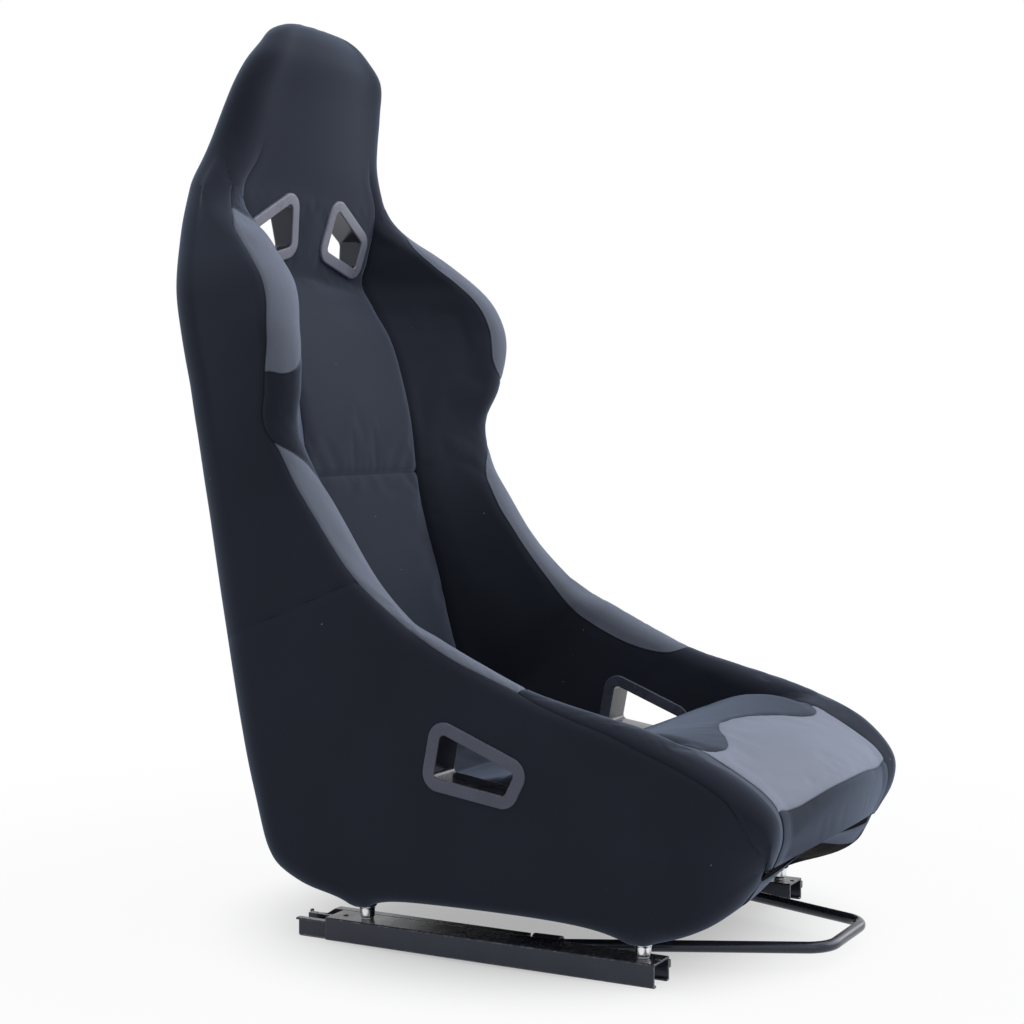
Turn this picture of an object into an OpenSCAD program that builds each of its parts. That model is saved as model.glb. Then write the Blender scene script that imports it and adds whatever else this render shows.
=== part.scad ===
// Fixed-back bucket seat on a pair of slide rails.
// Frame: millimetres, +Z up, the seat faces -Y, origin on the floor midway between the floor bolts.

/* [Backrest] */
// Height of the head top above the floor
top_z = 930; // [900:1:960]
// Height of the waist, where the side wings are lowest
waist_z = 502; // [495:1:510]
// Height of the widest part of the shoulder wings
shoulder_z = 594; // [585:1:605]
// Height of the neck, where the head runs into the shoulders
neck_z = 744; // [738:1:750]
// Rear face of the backrest at the waist, behind the origin
back_y = 300; // [290:1:312]
// Width across the head
head_w = 268; // [250:1:290]
// Width across the shoulder wings
shoulder_w = 464; // [444:1:484]
// Width across the waist
waist_w = 420; // [404:1:436]
// Width of the flat back panel between the bolsters
panel_w = 214; // [196:1:226]

/* [Seat base] */
// Width across the hips and thighs
hip_w = 410; // [400:1:420]
// Height of the seat's underside between its feet
base_z = 50; // [46:1:54]
// Height of the thigh wings' top at the front
thigh_z = 225; // [215:1:235]
// Height of the middle of the cushion at the front
cushion_z = 216; // [208:1:222]
// Front face of the cushion nose, ahead of the origin
front_y = 341; // [330:1:352]
// Width of the cushion between the thigh bolsters
cushion_w = 300; // [284:1:312]

/* [Shell and covers] */
// Thickness of the moulded shell
shell_t = 4; // [3:0.5:6]
// Thickness of the padded textile cover
cover_t = 3; // [2:0.5:4]
// Diameter of a moulded foot at its lower face
foot_d = 36; // [30:1:42]

/* [Belt slots] */
// Height of the middle of the shoulder slots
slot_z = 707; // [700:1:714]
// Distance of a shoulder slot's middle from the centre plane
slot_x = 68; // [62:1:74]
// Backward lean of the back panel at the shoulder slots
slot_lean = 11; // [6:1:16]
// Height of the middle of the lap slots
lap_z = 192; // [186:1:198]
// Distance of a lap slot's middle ahead of the origin
lap_y = 36; // [28:1:44]
// Thickness of the side wing at the lap slots
lap_wall = 34; // [30:1:38]
// Width of a slot bezel's face
bezel_w = 12.5; // [10:0.5:14]
// Wall of a bezel's collar, which lines the slot
collar_t = 2; // [1.2:0.1:3]
// Height of a bezel's face above the cover
bezel_h = 3; // [2:0.5:5]

/* [Rails] */
// Distance between the middles of the two rails
rail_gap = 344; // [330:1:360]
// Length of a rail
rail_len = 350; // [340:1:380]
// Width of an upper rail
upper_w = 34; // [32:0.5:38]
// Height of an upper rail's top face
upper_z = 24.2; // [23.5:0.1:26]
// Thickness of the rail sheet
sheet_t = 2; // [1.6:0.1:2.4]
// Lead of the upper rails over the lower rails at rest
slide_set = 36; // [30:1:45]
// Pitch of the latch notches
notch_pitch = 10; // [9.5:0.5:10.5]
// Number of latch notches in a lower rail
notch_count = 19; // [15:1:19]
// Travel of the seat to the rear from rest, in notches
travel_rear = 11; // [6:1:11]
// Travel of the seat to the front from rest, in notches
travel_front = 5; // [2:1:5]
// Diameter of a rail roller's axle
axle_d = 3; // [2:0.5:5]

/* [Latch] */
// Diameter of the handle bar
handle_d = 11; // [9:0.5:13]
// Width of the handle over the middles of its front corners
handle_w = 105; // [90:1:130]
// Front of the handle bar's middle line ahead of the origin
handle_y = 326; // [310:1:340]
// Bend radius of the handle bar's middle line
handle_bend = 30; // [24:1:36]
// Rise of the handle towards the front, in degrees
handle_rise = 1; // [0:0.5:2]
// Thickness of a latch lever
lever_t = 3; // [2:0.5:3.5]
// Diameter of a latch pivot pin
pivot_d = 6; // [5:0.5:7]
// Wire diameter of a return spring
wire_d = 1.5; // [1:0.1:1.8]
// Outer diameter of a return spring
spring_d = 8.7; // [7:0.1:9.4]
// Number of curls of a return spring
curls = 8; // [6:1:10]

/* [Fixings] */
// Distance between the front and rear seat bolts
bolt_gap = 294; // [280:1:310]
// Distance of the front seat bolts ahead of the origin
bolt_front = 193; // [186:1:200]
// Diameter of a seat bolt
bolt_d = 8; // [6:1:10]
// Height of a spacer
spacer_h = 8; // [6:0.5:12]
// Distance between the floor bolt holes along a rail
floor_gap = 300; // [280:1:310]
// Diameter of a floor bolt hole
floor_d = 8.5; // [6.5:0.5:10.5]

/* [Hidden] */
$fn = 48;

// ---- Curves along the seat ---------------------------------------------------------------
// Girth g runs along the seat: 0 at the waist, up the back to the head top, and
// negative down and forward round the hips to the nose.
top_g = top_z - waist_z;
neck_g = neck_z - waist_z;
chest_g = shoulder_z - waist_z;
nose_g = -880;
base_rise = base_z - 50;
pan_rise = cushion_z - 216;
nose_out = front_y - 341;

function seg(t, g, i = 0) = (i >= len(t) - 2 || g > t[i + 1][0]) ? i : seg(t, g, i + 1);
function rise(t, i, k) = let (a = max(i - 1, 0), b = min(i + 1, len(t) - 1))
  (t[b][k] - t[a][k]) / (t[b][0] - t[a][0]);
// Smooth curve through the rows [g, value, value ...] of a profile, g falling
function along(t, g, k = 1) = let (i = seg(t, g), h = t[i + 1][0] - t[i][0], s = (g - t[i][0]) / h)
  (2 * s * s * s - 3 * s * s + 1) * t[i][k] + (s * s * s - 2 * s * s + s) * h * rise(t, i, k)
  + (3 * s * s - 2 * s * s * s) * t[i + 1][k] + (s * s * s - s * s) * h * rise(t, i + 1, k);

// Rear and under side [g, y, z]
rear = [[top_g, back_y - 14, top_z], [top_g - 8, back_y - 8, top_z - 8],
  [top_g - 30, back_y - 5, top_z - 30], [top_g - 86, back_y + 9, top_z - 86],
  [neck_g + 34, back_y + 33, neck_z + 34], [neck_g, back_y + 36, neck_z],
  [chest_g + 46, back_y + 15, shoulder_z + 46], [chest_g - 43, back_y + 4, shoulder_z - 43],
  [0, back_y, waist_z], [-80, back_y - 15, 416], [-160, back_y - 31, 322],
  [-240, back_y - 55, 198], [-290, back_y - 74, 126], [-325, back_y - 95, 76],
  [-360, back_y - 130, base_z + 6], [-400, 125, base_z], [-640, -150, base_z],
  [-710, -220, base_z + 1], [-760, -256, base_z + 10], [-800, -280, base_z + 26],
  [-830, -292, base_z + 42], [-850, -297, base_z + 51], [nose_g, -300, base_z + 58]];
// Top line of the side wings [g, y, z]
crest = [[top_g, back_y - 20, top_z], [top_g - 8, back_y - 32, top_z - 8],
  [top_g - 30, back_y - 42, top_z - 30], [top_g - 52, back_y - 46, top_z - 52],
  [top_g - 86, back_y - 41, top_z - 86], [neck_g + 34, back_y - 30, neck_z + 34],
  [neck_g, back_y - 26, neck_z], [neck_g - 24, back_y - 39, neck_z - 24],
  [chest_g + 90, back_y - 85, shoulder_z + 90], [chest_g + 46, back_y - 129, shoulder_z + 46],
  [chest_g, back_y - 143, shoulder_z], [40, back_y - 138, waist_z + 40],
  [0, back_y - 127, waist_z], [-40, back_y - 138, 463], [-80, back_y - 159, 429],
  [-160, 95, 364], [-240, 48, 322], [-320, 10, 303], [-400, -30, 284], [-500, -84, 261],
  [-600, -142, thigh_z + 20], [-680, -196, thigh_z + 8], [-720, -226, thigh_z],
  [-760, -255, thigh_z - 14], [-800, -280, thigh_z - 34], [-830, 37 - front_y, thigh_z - 49],
  [-850, 23 - front_y, thigh_z - 68], [-865, 18 - front_y, 140], [nose_g, 21 - front_y, 117]];
// Half-width over the wings [g, x]
outer = [[top_g, 26], [top_g - 4, head_w / 2 - 84], [top_g - 14, head_w / 2 - 58],
  [top_g - 34, head_w / 2 - 34], [top_g - 54, head_w / 2 - 18], [top_g - 86, head_w / 2 - 6],
  [neck_g + 67, head_w / 2], [neck_g + 34, head_w / 2 + 8], [neck_g, head_w / 2 + 28],
  [chest_g + 96, shoulder_w / 2 - 37], [chest_g + 60, shoulder_w / 2 - 15],
  [chest_g + 17, shoulder_w / 2 - 1], [chest_g - 4, shoulder_w / 2],
  [chest_g - 49, shoulder_w / 2 - 10], [0, waist_w / 2], [-60, hip_w / 2], [-100, hip_w / 2],
  [-700, hip_w / 2], [-740, hip_w / 2], [-790, hip_w / 2 - 5], [-830, hip_w / 2 - 15],
  [-850, hip_w / 2 - 23], [-865, hip_w / 2 - 29],
  [nose_g, hip_w / 2 - 37]];
// Half-width at the rear corners [g, x]
hind = [[top_g, 24], [top_g - 4, head_w / 2 - 86], [top_g - 14, head_w / 2 - 61],
  [top_g - 34, head_w / 2 - 38], [top_g - 54, head_w / 2 - 22], [top_g - 86, head_w / 2 - 9],
  [neck_g + 34, head_w / 2 + 6], [neck_g, head_w / 2 + 25],
  [chest_g + 99, shoulder_w / 2 - 42], [chest_g + 46, shoulder_w / 2 - 18],
  [chest_g, shoulder_w / 2 - 16], [0, waist_w / 2 - 5], [-60, hip_w / 2], [-100, hip_w / 2],
  [-700, hip_w / 2], [-740, hip_w / 2], [-790, hip_w / 2 - 10], [-830, hip_w / 2 - 24],
  [nose_g, hip_w / 2 - 44]];
// Radius of the rolled top of the wings [g, r]
roll = [[top_g, 3], [top_g - 8, 10], [top_g - 30, 19], [neck_g, 26], [chest_g + 60, 27],
  [chest_g, 25], [40, 22], [0, 22], [-60, 27], [-130, 27], [-240, 20], [-320, lap_wall / 2],
  [-340, lap_wall / 2], [-700, lap_wall / 2],
  [-760, 20], [-800, 25], [-830, 24], [-850, 21], [-865, 16], [nose_g, 8]];
// Radius of the rear corner [g, r]
corner = [[top_g, 3], [top_g - 8, 10], [top_g - 30, 18], [neck_g, 34], [chest_g, 42],
  [-280, 42], [-340, 30], [-400, 20], [-740, 18], [-800, 14], [-830, 9], [nose_g, 4]];
// Hollow of the rear and under side between the wings [g, depth]
dish = [[top_g, 0], [top_g - 60, 4], [neck_g + 34, 20], [neck_g, 27], [neck_g - 24, 29],
  [neck_g - 60, 20], [chest_g + 66, 13], [chest_g + 40, 16], [chest_g, 22], [0, 26], [-240, 30],
  [-330, 26], [-400, 26], [-700, 32], [-790, 26], [-830, 14], [nose_g, 0]];
// How flat the hollow's bottom is across the seat: 1 is a plain wave [g, power]
dish_fill = [[top_g, 3], [chest_g + 20, 3], [chest_g, 3], [-40, 1], [-80, 1], [nose_g, 1]];
// Gap between the cushion's sides and the bolsters, which leaves room for the lap bezels
tuck = [[top_g, 0], [-300, 0], [-380, 9], [-560, 9], [-640, 0], [nose_g, 0]];
// Half-width of the crease between panel and bolster [g, x]
crease_x = [[top_g, 12], [top_g - 8, head_w / 2 - 92], [top_g - 54, head_w / 2 - 56],
  [neck_g + 34, head_w / 2 - 30], [neck_g, panel_w / 2 + 17], [neck_g - 60, panel_w / 2 + 16],
  [chest_g, panel_w / 2 + 4], [0, panel_w / 2], [-120, panel_w / 2 + 10],
  [-240, panel_w / 2 + 36], [-300, hip_w / 2 - lap_wall], [-330, hip_w / 2 - lap_wall],
  [-560, hip_w / 2 - lap_wall], [-580, hip_w / 2 - lap_wall], [-640, hip_w / 2 - 43],
  [-720, cushion_w / 2 + 2], [nose_g, cushion_w / 2 - 2]];
// Height of the crease above the rear side, towards the wing top [g, height]
crease_h = [[top_g, 5], [top_g - 8, 22], [top_g - 30, 35], [top_g - 52, 44], [top_g - 86, 48],
  [neck_g + 34, 60], [neck_g, 59], [neck_g - 24, 51.5], [chest_g + 90, 36.3], [chest_g + 66, 26],
  [chest_g + 40, 38], [chest_g, 60], [40, 74], [0, 80], [-80, 74],
  [-160, 76], [-240, 76], [-300, 82], [-340, 92],
  [-400, 94], [-500, 97], [-540, 104], [-580, 122], [-620, 146 + pan_rise],
  [-660, 158 + pan_rise], [-700, 163 + pan_rise], [-730, 161 + pan_rise],
  [-760, 144 + pan_rise], [-800, 110 + pan_rise], [-830, 82 + pan_rise], [-850, 58],
  [-865, 41], [nose_g, 20]];
// Height of the middle of the panel above the rear side [g, height]
panel_h = [[top_g, 7], [top_g - 8, 26], [top_g - 30, 40], [top_g - 52, 50], [top_g - 86, 55],
  [neck_g + 34, 68], [neck_g, 63], [neck_g - 24, 54], [chest_g + 90, 38.8],
  [chest_g + 66, 28.5], [chest_g + 40, 41], [chest_g, 64], [40, 78], [0, 84], [-80, 78],
  [-160, 80], [-240, 84], [-300, 100], [-340, 112],
  [-400, 112], [-480, 122], [-525, 134], [-567, 146 + pan_rise], [-600, 156 + pan_rise],
  [-640, 164 + pan_rise], [-700, 166 + pan_rise], [-760, 148 + pan_rise],
  [-800, 124 + pan_rise], [-830, 98 + pan_rise], [-850, 81 + nose_out], [-865, 68 + nose_out],
  [nose_g, 38 + nose_out]];
// Lift of the panel's edges over its middle [g, height]
edge_lift = [[top_g, -1], [top_g - 54, -4], [neck_g + 34, -5], [neck_g, -3], [neck_g - 24, -1],
  [chest_g + 66, 0], [chest_g, 0],
  [-240, 0], [-320, 6], [-560, 9], [-640, 8], [-720, 3], [-800, -4], [-830, -8],
  [nose_g, -8]];

// One section: [rear point, unit vector to the wing top, height of the wing top, g]
function station(g) = let (r = [along(rear, g, 1), along(rear, g, 2)],
  c = [along(crest, g, 1), along(crest, g, 2)]) [r, (c - r) / norm(c - r), norm(c - r), g];
// Point of a section at x and height s
function place(st, p) = [p[0], st[0][0] + st[1][0] * p[1], st[0][1] + st[1][1] * p[1]];

// Outside of one half section, t inside the cover: dished middle, corner, wall, roll
function skin_curve(st, t = 0) = let (g = st[3], r = along(roll, g), c = along(corner, g),
  w = along(hind, g), o = along(outer, g), flat = w - c, d = along(dish, g), h = st[2],
  p = max(1, along(dish_fill, g))) concat(
  [for (k = [0, 0.35, 0.7, 1]) [flat * k, t + d * (1 + cos(180 * pow(k, p))) / 2]],
  [for (a = [30, 60, 90]) [flat + (c - t) * sin(a), c - (c - t) * cos(a)]],
  [[(w + o) / 2 - t, (c + h - r) / 2]],
  [for (a = [0, 30, 60, 90]) [o - r + (r - t) * cos(a), h - r + (r - t) * sin(a)]]);
// Panel of one half section, from its middle to its drawn-in edge in the crease
function panel_curve(st) = let (g = st[3], x = along(crease_x, g) - max(0, along(tuck, g)),
  e = min(18, x / 4),
  p = along(panel_h, g), j = along(crease_h, g), u = along(edge_lift, g)) concat(
  [for (k = [0, 0.3, 0.6, 0.85, 1]) [(x - e) * k, p + u * k * k]],
  [for (a = [35, 65]) [x - e + e * sin(a), j + (p + u - j) * cos(a)]],
  [[x, j]]);
// Bolster of one half section, from the crease up its wall and over the roll
function wall_curve(st) = let (g = st[3], r = along(roll, g), x = along(crease_x, g),
  j = along(crease_h, g), cx = along(outer, g) - r - x, cy = st[2] - r - j,
  tan_a = atan2(cy, cx) + asin(min(1, r / norm([cx, cy]))),
  tx = x + cx - r * sin(tan_a), ty = j + cy + r * cos(tan_a)) concat(
  [[x, j], [(x + tx) / 2, (j + ty) / 2]],
  [for (k = [0, 0.25, 0.5, 0.75, 1]) let (a = tan_a + 90 - tan_a * k)
    [x + cx + r * cos(a), j + cy + r * sin(a)]]);
TURN = 3;                  // index where the rear corner starts in skin_curve
LIP = 8;                   // index of the shell's lip in skin_curve
TOP = 11;                  // index of the wing top in skin_curve
function part_of(c, a, b) = a <= b ? [for (i = [a:b]) c[i]] : [for (i = [a:-1:b]) c[i]];
function flipped(c) = [for (p = c) [-p[0], p[1]]];
// Closed full section from a front and a rear half curve, both from the middle outward
function full(front, back) = concat(flipped(part_of(front, len(front) - 1, 1)), front,
  part_of(back, len(back) - 1, 0), flipped(part_of(back, 1, len(back) - 1)));
function spread(a, b, n) = [for (i = [0:n]) a + (b - a) * i / n];
function tail(list) = [for (i = [1:len(list) - 1]) list[i]];
function face_curve(st) = concat(panel_curve(st), tail(wall_curve(st)));

// ---- Stations ----------------------------------------------------------------------------
cap_g = top_g - 28;        // where the shell and its rear cover end, under the head top
seam_g = -52;              // horizontal seam of the back panel
bight_g = -310;            // where the back panel meets the cushion
lip_g = -800;              // front edge of the shell
crown = [for (d = [0, 3, 8, 16, 28]) top_g - d];
head = concat([for (d = [28, 44, 64, 92]) top_g - d], tail(spread(top_g - 92, neck_g, 3)));
chest = spread(neck_g, 0, 9);
loin = spread(0, seam_g, 2);
lumbar = spread(seam_g, bight_g, 6);
heel = spread(bight_g, -400, 4);
pan = concat(tail(spread(-400, -700, 5)), tail(spread(-700, lip_g, 5)));
nose = [for (d = [0, 16, 30, 42, 52, 60, 68, 75, 80]) lip_g - d];

// Order of two points of a row, the same on both halves and from both sides of a shared surface
function rank(p) = abs(p[0]) + 0.37 * p[1] + 0.21 * p[2];
// Solid through closed sections given as rows of points
module loft(rows) {
  n = len(rows[0]);
  last = (len(rows) - 1) * n;
  sides = [for (i = [0:len(rows) - 2]) for (j = [0:n - 1]) let (k = (j + 1) % n, a = i * n + j, b = i * n + k)
    for (f = rank(rows[i][j]) < rank(rows[i][k]) ? [[a, b, b + n], [a, b + n, a + n]]
      : [[a, b, a + n], [b, b + n, a + n]]) f];
  polyhedron([for (r = rows) for (p = r) p],
    concat(sides, [[for (j = [n - 1:-1:0]) j], [for (j = [0:n - 1]) last + j]]));
}
// Everything under it becomes one moulded mesh
module moulded() { resize([0, 0, 0]) children(); }
function section(st, loop) = [for (p = loop) place(st, p)];
liner_t = cover_t + shell_t;

// ---- Slots -------------------------------------------------------------------------------
// Corners of an opening from its middle, counter-clockwise: across and up
shoulder_pts = [[32, -3], [-25, 29], [-34, -16], [26, -32]];
lap_pts = [[42, -16], [34, 26], [-44, -5], [-33, -27]];
slot_r = 5;                // corner radius of an opening
fit_gap = 0.3;             // clearance of a collar in its hole
function cross2(a, b) = a[0] * b[1] - a[1] * b[0];
function unit(v) = v / norm(v);
function out_of(a, b) = let (d = unit(b - a)) [d[1], -d[0]];
// Outline moved outward by d
function grown(pts, d) = let (n = len(pts)) [for (i = [0:n - 1]) let (a = pts[(i + n - 1) % n], b = pts[i],
  c = pts[(i + 1) % n], p = b + d * out_of(a, b), q = b + d * out_of(b, c), u = unit(b - a), v = unit(c - b))
  p + u * cross2(q - p, v) / cross2(u, v)];
// Outline with round corners
function rounded(pts, r) = let (n = len(pts)) [for (i = [0:n - 1]) let (a = pts[(i + n - 1) % n], b = pts[i],
  c = pts[(i + 1) % n], u = unit(a - b), v = unit(c - b), half = acos(u * v) / 2,
  m = b + unit(u + v) * r / sin(half), s = atan2(out_of(a, b)[1], out_of(a, b)[0]), turn = 180 - 2 * half)
  for (k = [0:4]) m + r * [cos(s + turn * k / 4), sin(s + turn * k / 4)]];
function outline(pts, d) = rounded(grown(pts, d), slot_r + d);
// Prism along +Y of an outline in the XZ plane
module along_y(pts, from, to) {
  translate([0, to, 0]) rotate([90, 0, 0]) linear_extrude(to - from) polygon(pts);
}
// Prism along +X of an outline in the YZ plane
module along_x(pts, from, to) {
  translate([from, 0, 0]) rotate([90, 0, 90]) linear_extrude(to - from) polygon(pts);
}
hole_t = collar_t + fit_gap;
module shoulder_holes(grow = hole_t) {
  for (side = [-1, 1]) scale([side, 1, 1]) translate([slot_x, 0, slot_z])
    along_y(outline(shoulder_pts, grow), 0, back_y + 80);
}
module lap_hole(grow = hole_t) {
  translate([0, -lap_y, lap_z]) along_x(outline(lap_pts, grow), 100, hip_w);
}

// ---- Shell and covers --------------------------------------------------------------------
foot_z = upper_z + spacer_h;
bolt_x = rail_gap / 2;
bolt_ys = [-bolt_front, bolt_gap - bolt_front];
insert_d = 14;             // outer diameter of a threaded insert
insert_h = 16;             // height of a threaded insert
foot_blend = 62;           // length of a foot where it leaves the shell
module at_bolts() {
  for (x = [-bolt_x, bolt_x]) for (y = bolt_ys) translate([x, y, 0]) children();
}
module shell_body() {
  loft([for (g = concat(head, tail(chest), tail(loin), tail(lumbar), tail(heel), pan)) let (s = station(g))
    section(s, full(part_of(skin_curve(s, liner_t), 0, LIP), part_of(skin_curve(s, cover_t), 0, LIP)))]);
}
module foot(grow = 0) {
  hull() {
    translate([0, 0, foot_z]) cylinder(h = 2, d = foot_d + 2 * grow, $fn = 20);
    translate([0, 0, base_z + cover_t]) scale([1, foot_blend / foot_d, 1])
      cylinder(h = shell_t / 2, d = foot_d + 2 * grow, $fn = 20);
  }
}
module seat_shell() {
  color([0.06, 0.06, 0.07]) moulded() difference() {
    union() {
      shell_body();
      at_bolts() foot();
    }
    at_bolts() translate([0, 0, foot_z - 1])
      cylinder(h = insert_h + 2, r = (insert_d / 2 + 0.05) / cos(180 / 16), $fn = 16);
    shoulder_holes();
    lap_hole();
    mirror([1, 0, 0]) lap_hole();
  }
}

module back_cover() {
  color([0.05, 0.05, 0.06]) moulded() difference() {
    loft([for (g = concat(head, tail(chest), tail(loin), tail(lumbar), [heel[1], heel[2]]))
      let (s = station(g))
      section(s, full(part_of(skin_curve(s, cover_t), 0, TURN), part_of(skin_curve(s), 0, TURN)))]);
    shoulder_holes();
    for (side = [-1, 1]) scale([side, 1, 1]) rear_seat();
  }
}
module side_cover() {
  moulded() difference() {
    loft([for (g = concat(chest, tail(loin), tail(lumbar), tail(heel), pan)) let (s = station(g))
      section(s, concat(part_of(skin_curve(s, cover_t), TURN, TOP), part_of(skin_curve(s), TOP, TURN)))]);
    lap_hole();
    for (y = bolt_ys) translate([bolt_x, y, 0]) foot(fit_gap);
  }
}
module side_cover_right() { color([0.05, 0.05, 0.06]) side_cover(); }
module side_cover_left() { color([0.05, 0.05, 0.06]) mirror([1, 0, 0]) side_cover(); }

module head_pad() {
  color([0.05, 0.05, 0.06]) moulded() union() {
    loft([for (g = crown) let (s = station(g)) section(s, full(concat(face_curve(s),
      part_of(skin_curve(s), TOP - 1, TURN)), part_of(skin_curve(s), 0, TURN - 1)))]);
    loft([for (g = head) let (s = station(g), c = skin_curve(s, cover_t)) section(s, full(
      concat(face_curve(s), part_of(skin_curve(s), TOP - 1, TURN)),
      concat(part_of(skin_curve(s, liner_t), 0, LIP), part_of(c, LIP, TURN))))]);
  }
}
module back_pad(gs) {
  loft([for (g = gs) let (s = station(g))
    section(s, full(panel_curve(s), part_of(skin_curve(s, liner_t), 0, TURN)))]);
}
module back_pad_upper() {
  color([0.06, 0.06, 0.07]) moulded() difference() {
    back_pad(concat(chest, tail(loin)));
    shoulder_holes();
    for (side = [-1, 1]) scale([side, 1, 1]) front_seat();
  }
}
module back_pad_lower() { color([0.06, 0.06, 0.07]) back_pad(lumbar); }

module bolster(gs) {
  loft([for (g = gs) let (s = station(g)) section(s, concat(wall_curve(s),
    part_of(skin_curve(s, cover_t), TOP, LIP), part_of(skin_curve(s, liner_t), LIP, TURN)))]);
}
module shoulder_bolster_right() { color([0.2, 0.21, 0.24]) bolster(chest); }
module shoulder_bolster_left() { color([0.2, 0.21, 0.24]) mirror([1, 0, 0]) bolster(chest); }
module hip_bolster() {
  difference() {
    bolster(concat(loin, tail(lumbar), tail(heel), pan));
    lap_hole();
  }
  loft([for (g = nose) let (s = station(g))
    section(s, concat(wall_curve(s), part_of(skin_curve(s), TOP - 1, TURN)))]);
}
module hip_bolster_right() { color([0.05, 0.05, 0.06]) moulded() hip_bolster(); }
module hip_bolster_left() { color([0.05, 0.05, 0.06]) moulded() mirror([1, 0, 0]) hip_bolster(); }
module seat_cushion() {
  color([0.2, 0.21, 0.24]) moulded() union() {
    back_pad(concat(heel, pan));
    loft([for (g = nose) let (s = station(g))
      section(s, full(panel_curve(s), part_of(skin_curve(s), 0, TURN)))]);
  }
}

// ---- Slot bezels -------------------------------------------------------------------------
black = [0.07, 0.07, 0.08];
slot_y = back_y - 19.1;                       // pad face at the middle of the shoulder slots
hind_y = back_y + 8.2;                        // rear cover at the middle of the shoulder slots
hind_turn = [7.6 - slot_lean, 0, 4.9];        // turn of the rear cover there
collar_mid = (slot_y + hind_y) / 2;
// Face ring in the XZ plane, its front face at y = 0, behind it +Y
module bezel_ring(pts, grow) {
  difference() {
    along_y(outline(pts, grow), 0, bezel_h);
    along_y(outline(pts, 0), -1, bezel_h + 1);
  }
}
module bezel_collar(pts, from, to) {
  difference() {
    along_y(outline(pts, collar_t), from, to);
    along_y(outline(pts, 0), from - 1, to + 1);
  }
}
tall = [for (p = shoulder_pts) [p[0], p[1] / cos(slot_lean)]];
// Seat of a ring where the pad or the rear cover swells past the ring's back face
module front_seat() {
  translate([slot_x, slot_y, slot_z]) rotate([slot_lean, 0, 0]) translate([0, -bezel_h, 0])
    along_y(outline(tall, bezel_w + fit_gap), 0, bezel_h);
}
module rear_seat() {
  translate([slot_x, hind_y, slot_z]) rotate(hind_turn) along_y(outline(tall, bezel_w + fit_gap), 0, bezel_h);
}
module shoulder_front() {
  translate([slot_x, slot_y, slot_z]) {
    rotate([slot_lean, 0, 0]) translate([0, -bezel_h, 0]) bezel_ring(tall, bezel_w);
    difference() {
      bezel_collar(shoulder_pts, -20, collar_mid - slot_y);
      rotate([slot_lean, 0, 0]) translate([-100, -100, -100]) cube([200, 100, 200]);
    }
  }
}
module shoulder_rear() {
  translate([slot_x, hind_y, slot_z]) {
    rotate(hind_turn) bezel_ring(tall, bezel_w);
    difference() {
      bezel_collar(shoulder_pts, collar_mid - hind_y, 20);
      rotate(hind_turn) translate([-100, 0, -100]) cube([200, 100, 200]);
    }
  }
}
lap_out = hip_w / 2;
lap_in = lap_out - lap_wall;
lap_mid = (lap_out + lap_in) / 2;
// Lap bezel: a ring on a wing's face and a collar into the wing
module lap_bezel(ring_x, from, to) {
  translate([0, -lap_y, lap_z]) difference() {
    union() {
      along_x(outline(lap_pts, bezel_w), ring_x, ring_x + bezel_h);
      along_x(outline(lap_pts, collar_t), from, to);
    }
    along_x(outline(lap_pts, 0), lap_in - 10, lap_out + 10);
  }
}
module lap_outer() { lap_bezel(lap_out, lap_mid, lap_out + 1); }
module lap_inner() { lap_bezel(lap_in - bezel_h, lap_in - 1, lap_mid); }
module shoulder_bezel_front_right() { color(black) shoulder_front(); }
module shoulder_bezel_front_left() { color(black) mirror([1, 0, 0]) shoulder_front(); }
module shoulder_bezel_rear_right() { color(black) shoulder_rear(); }
module shoulder_bezel_rear_left() { color(black) mirror([1, 0, 0]) shoulder_rear(); }
module lap_bezel_outer_right() { color(black) lap_outer(); }
module lap_bezel_outer_left() { color(black) mirror([1, 0, 0]) lap_outer(); }
module lap_bezel_inner_right() { color(black) lap_inner(); }
module lap_bezel_inner_left() { color(black) mirror([1, 0, 0]) lap_inner(); }

// ---- Fixings -----------------------------------------------------------------------------
hole_play = 0.4;           // clearance of a bolt in a plain hole
washer_h = 2.2;            // height of the washer under a spacer
head_h = 3.4;              // height of a low bolt head
bolt_hole = bolt_d + hole_play;
module seat_inserts() {
  color([0.7, 0.7, 0.72]) at_bolts() translate([0, 0, foot_z]) difference() {
    cylinder(h = insert_h, d = insert_d);
    translate([0, 0, -1]) cylinder(h = insert_h + 2, d = bolt_d);
  }
}
module seat_spacers() {
  color([0.9, 0.9, 0.92]) at_bolts() translate([0, 0, upper_z + washer_h]) difference() {
    cylinder(h = spacer_h - washer_h, d1 = bolt_d + 4.4, d2 = bolt_d + 6.8);
    translate([0, 0, -1]) cylinder(h = spacer_h, d = bolt_hole);
  }
}
module seat_washers() {
  color([0.8, 0.8, 0.82]) at_bolts() translate([0, 0, upper_z]) difference() {
    cylinder(h = washer_h, d = bolt_d + 4);
    translate([0, 0, -1]) cylinder(h = washer_h + 2, d = bolt_hole);
  }
}
module seat_bolts() {
  color([0.6, 0.6, 0.62]) at_bolts() {
    translate([0, 0, upper_z - sheet_t - head_h]) cylinder(h = head_h, d = bolt_d + 5);
    translate([0, 0, upper_z - sheet_t - 1]) cylinder(h = sheet_t + 1 + spacer_h + insert_h - 2, d = bolt_d);
  }
}

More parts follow.
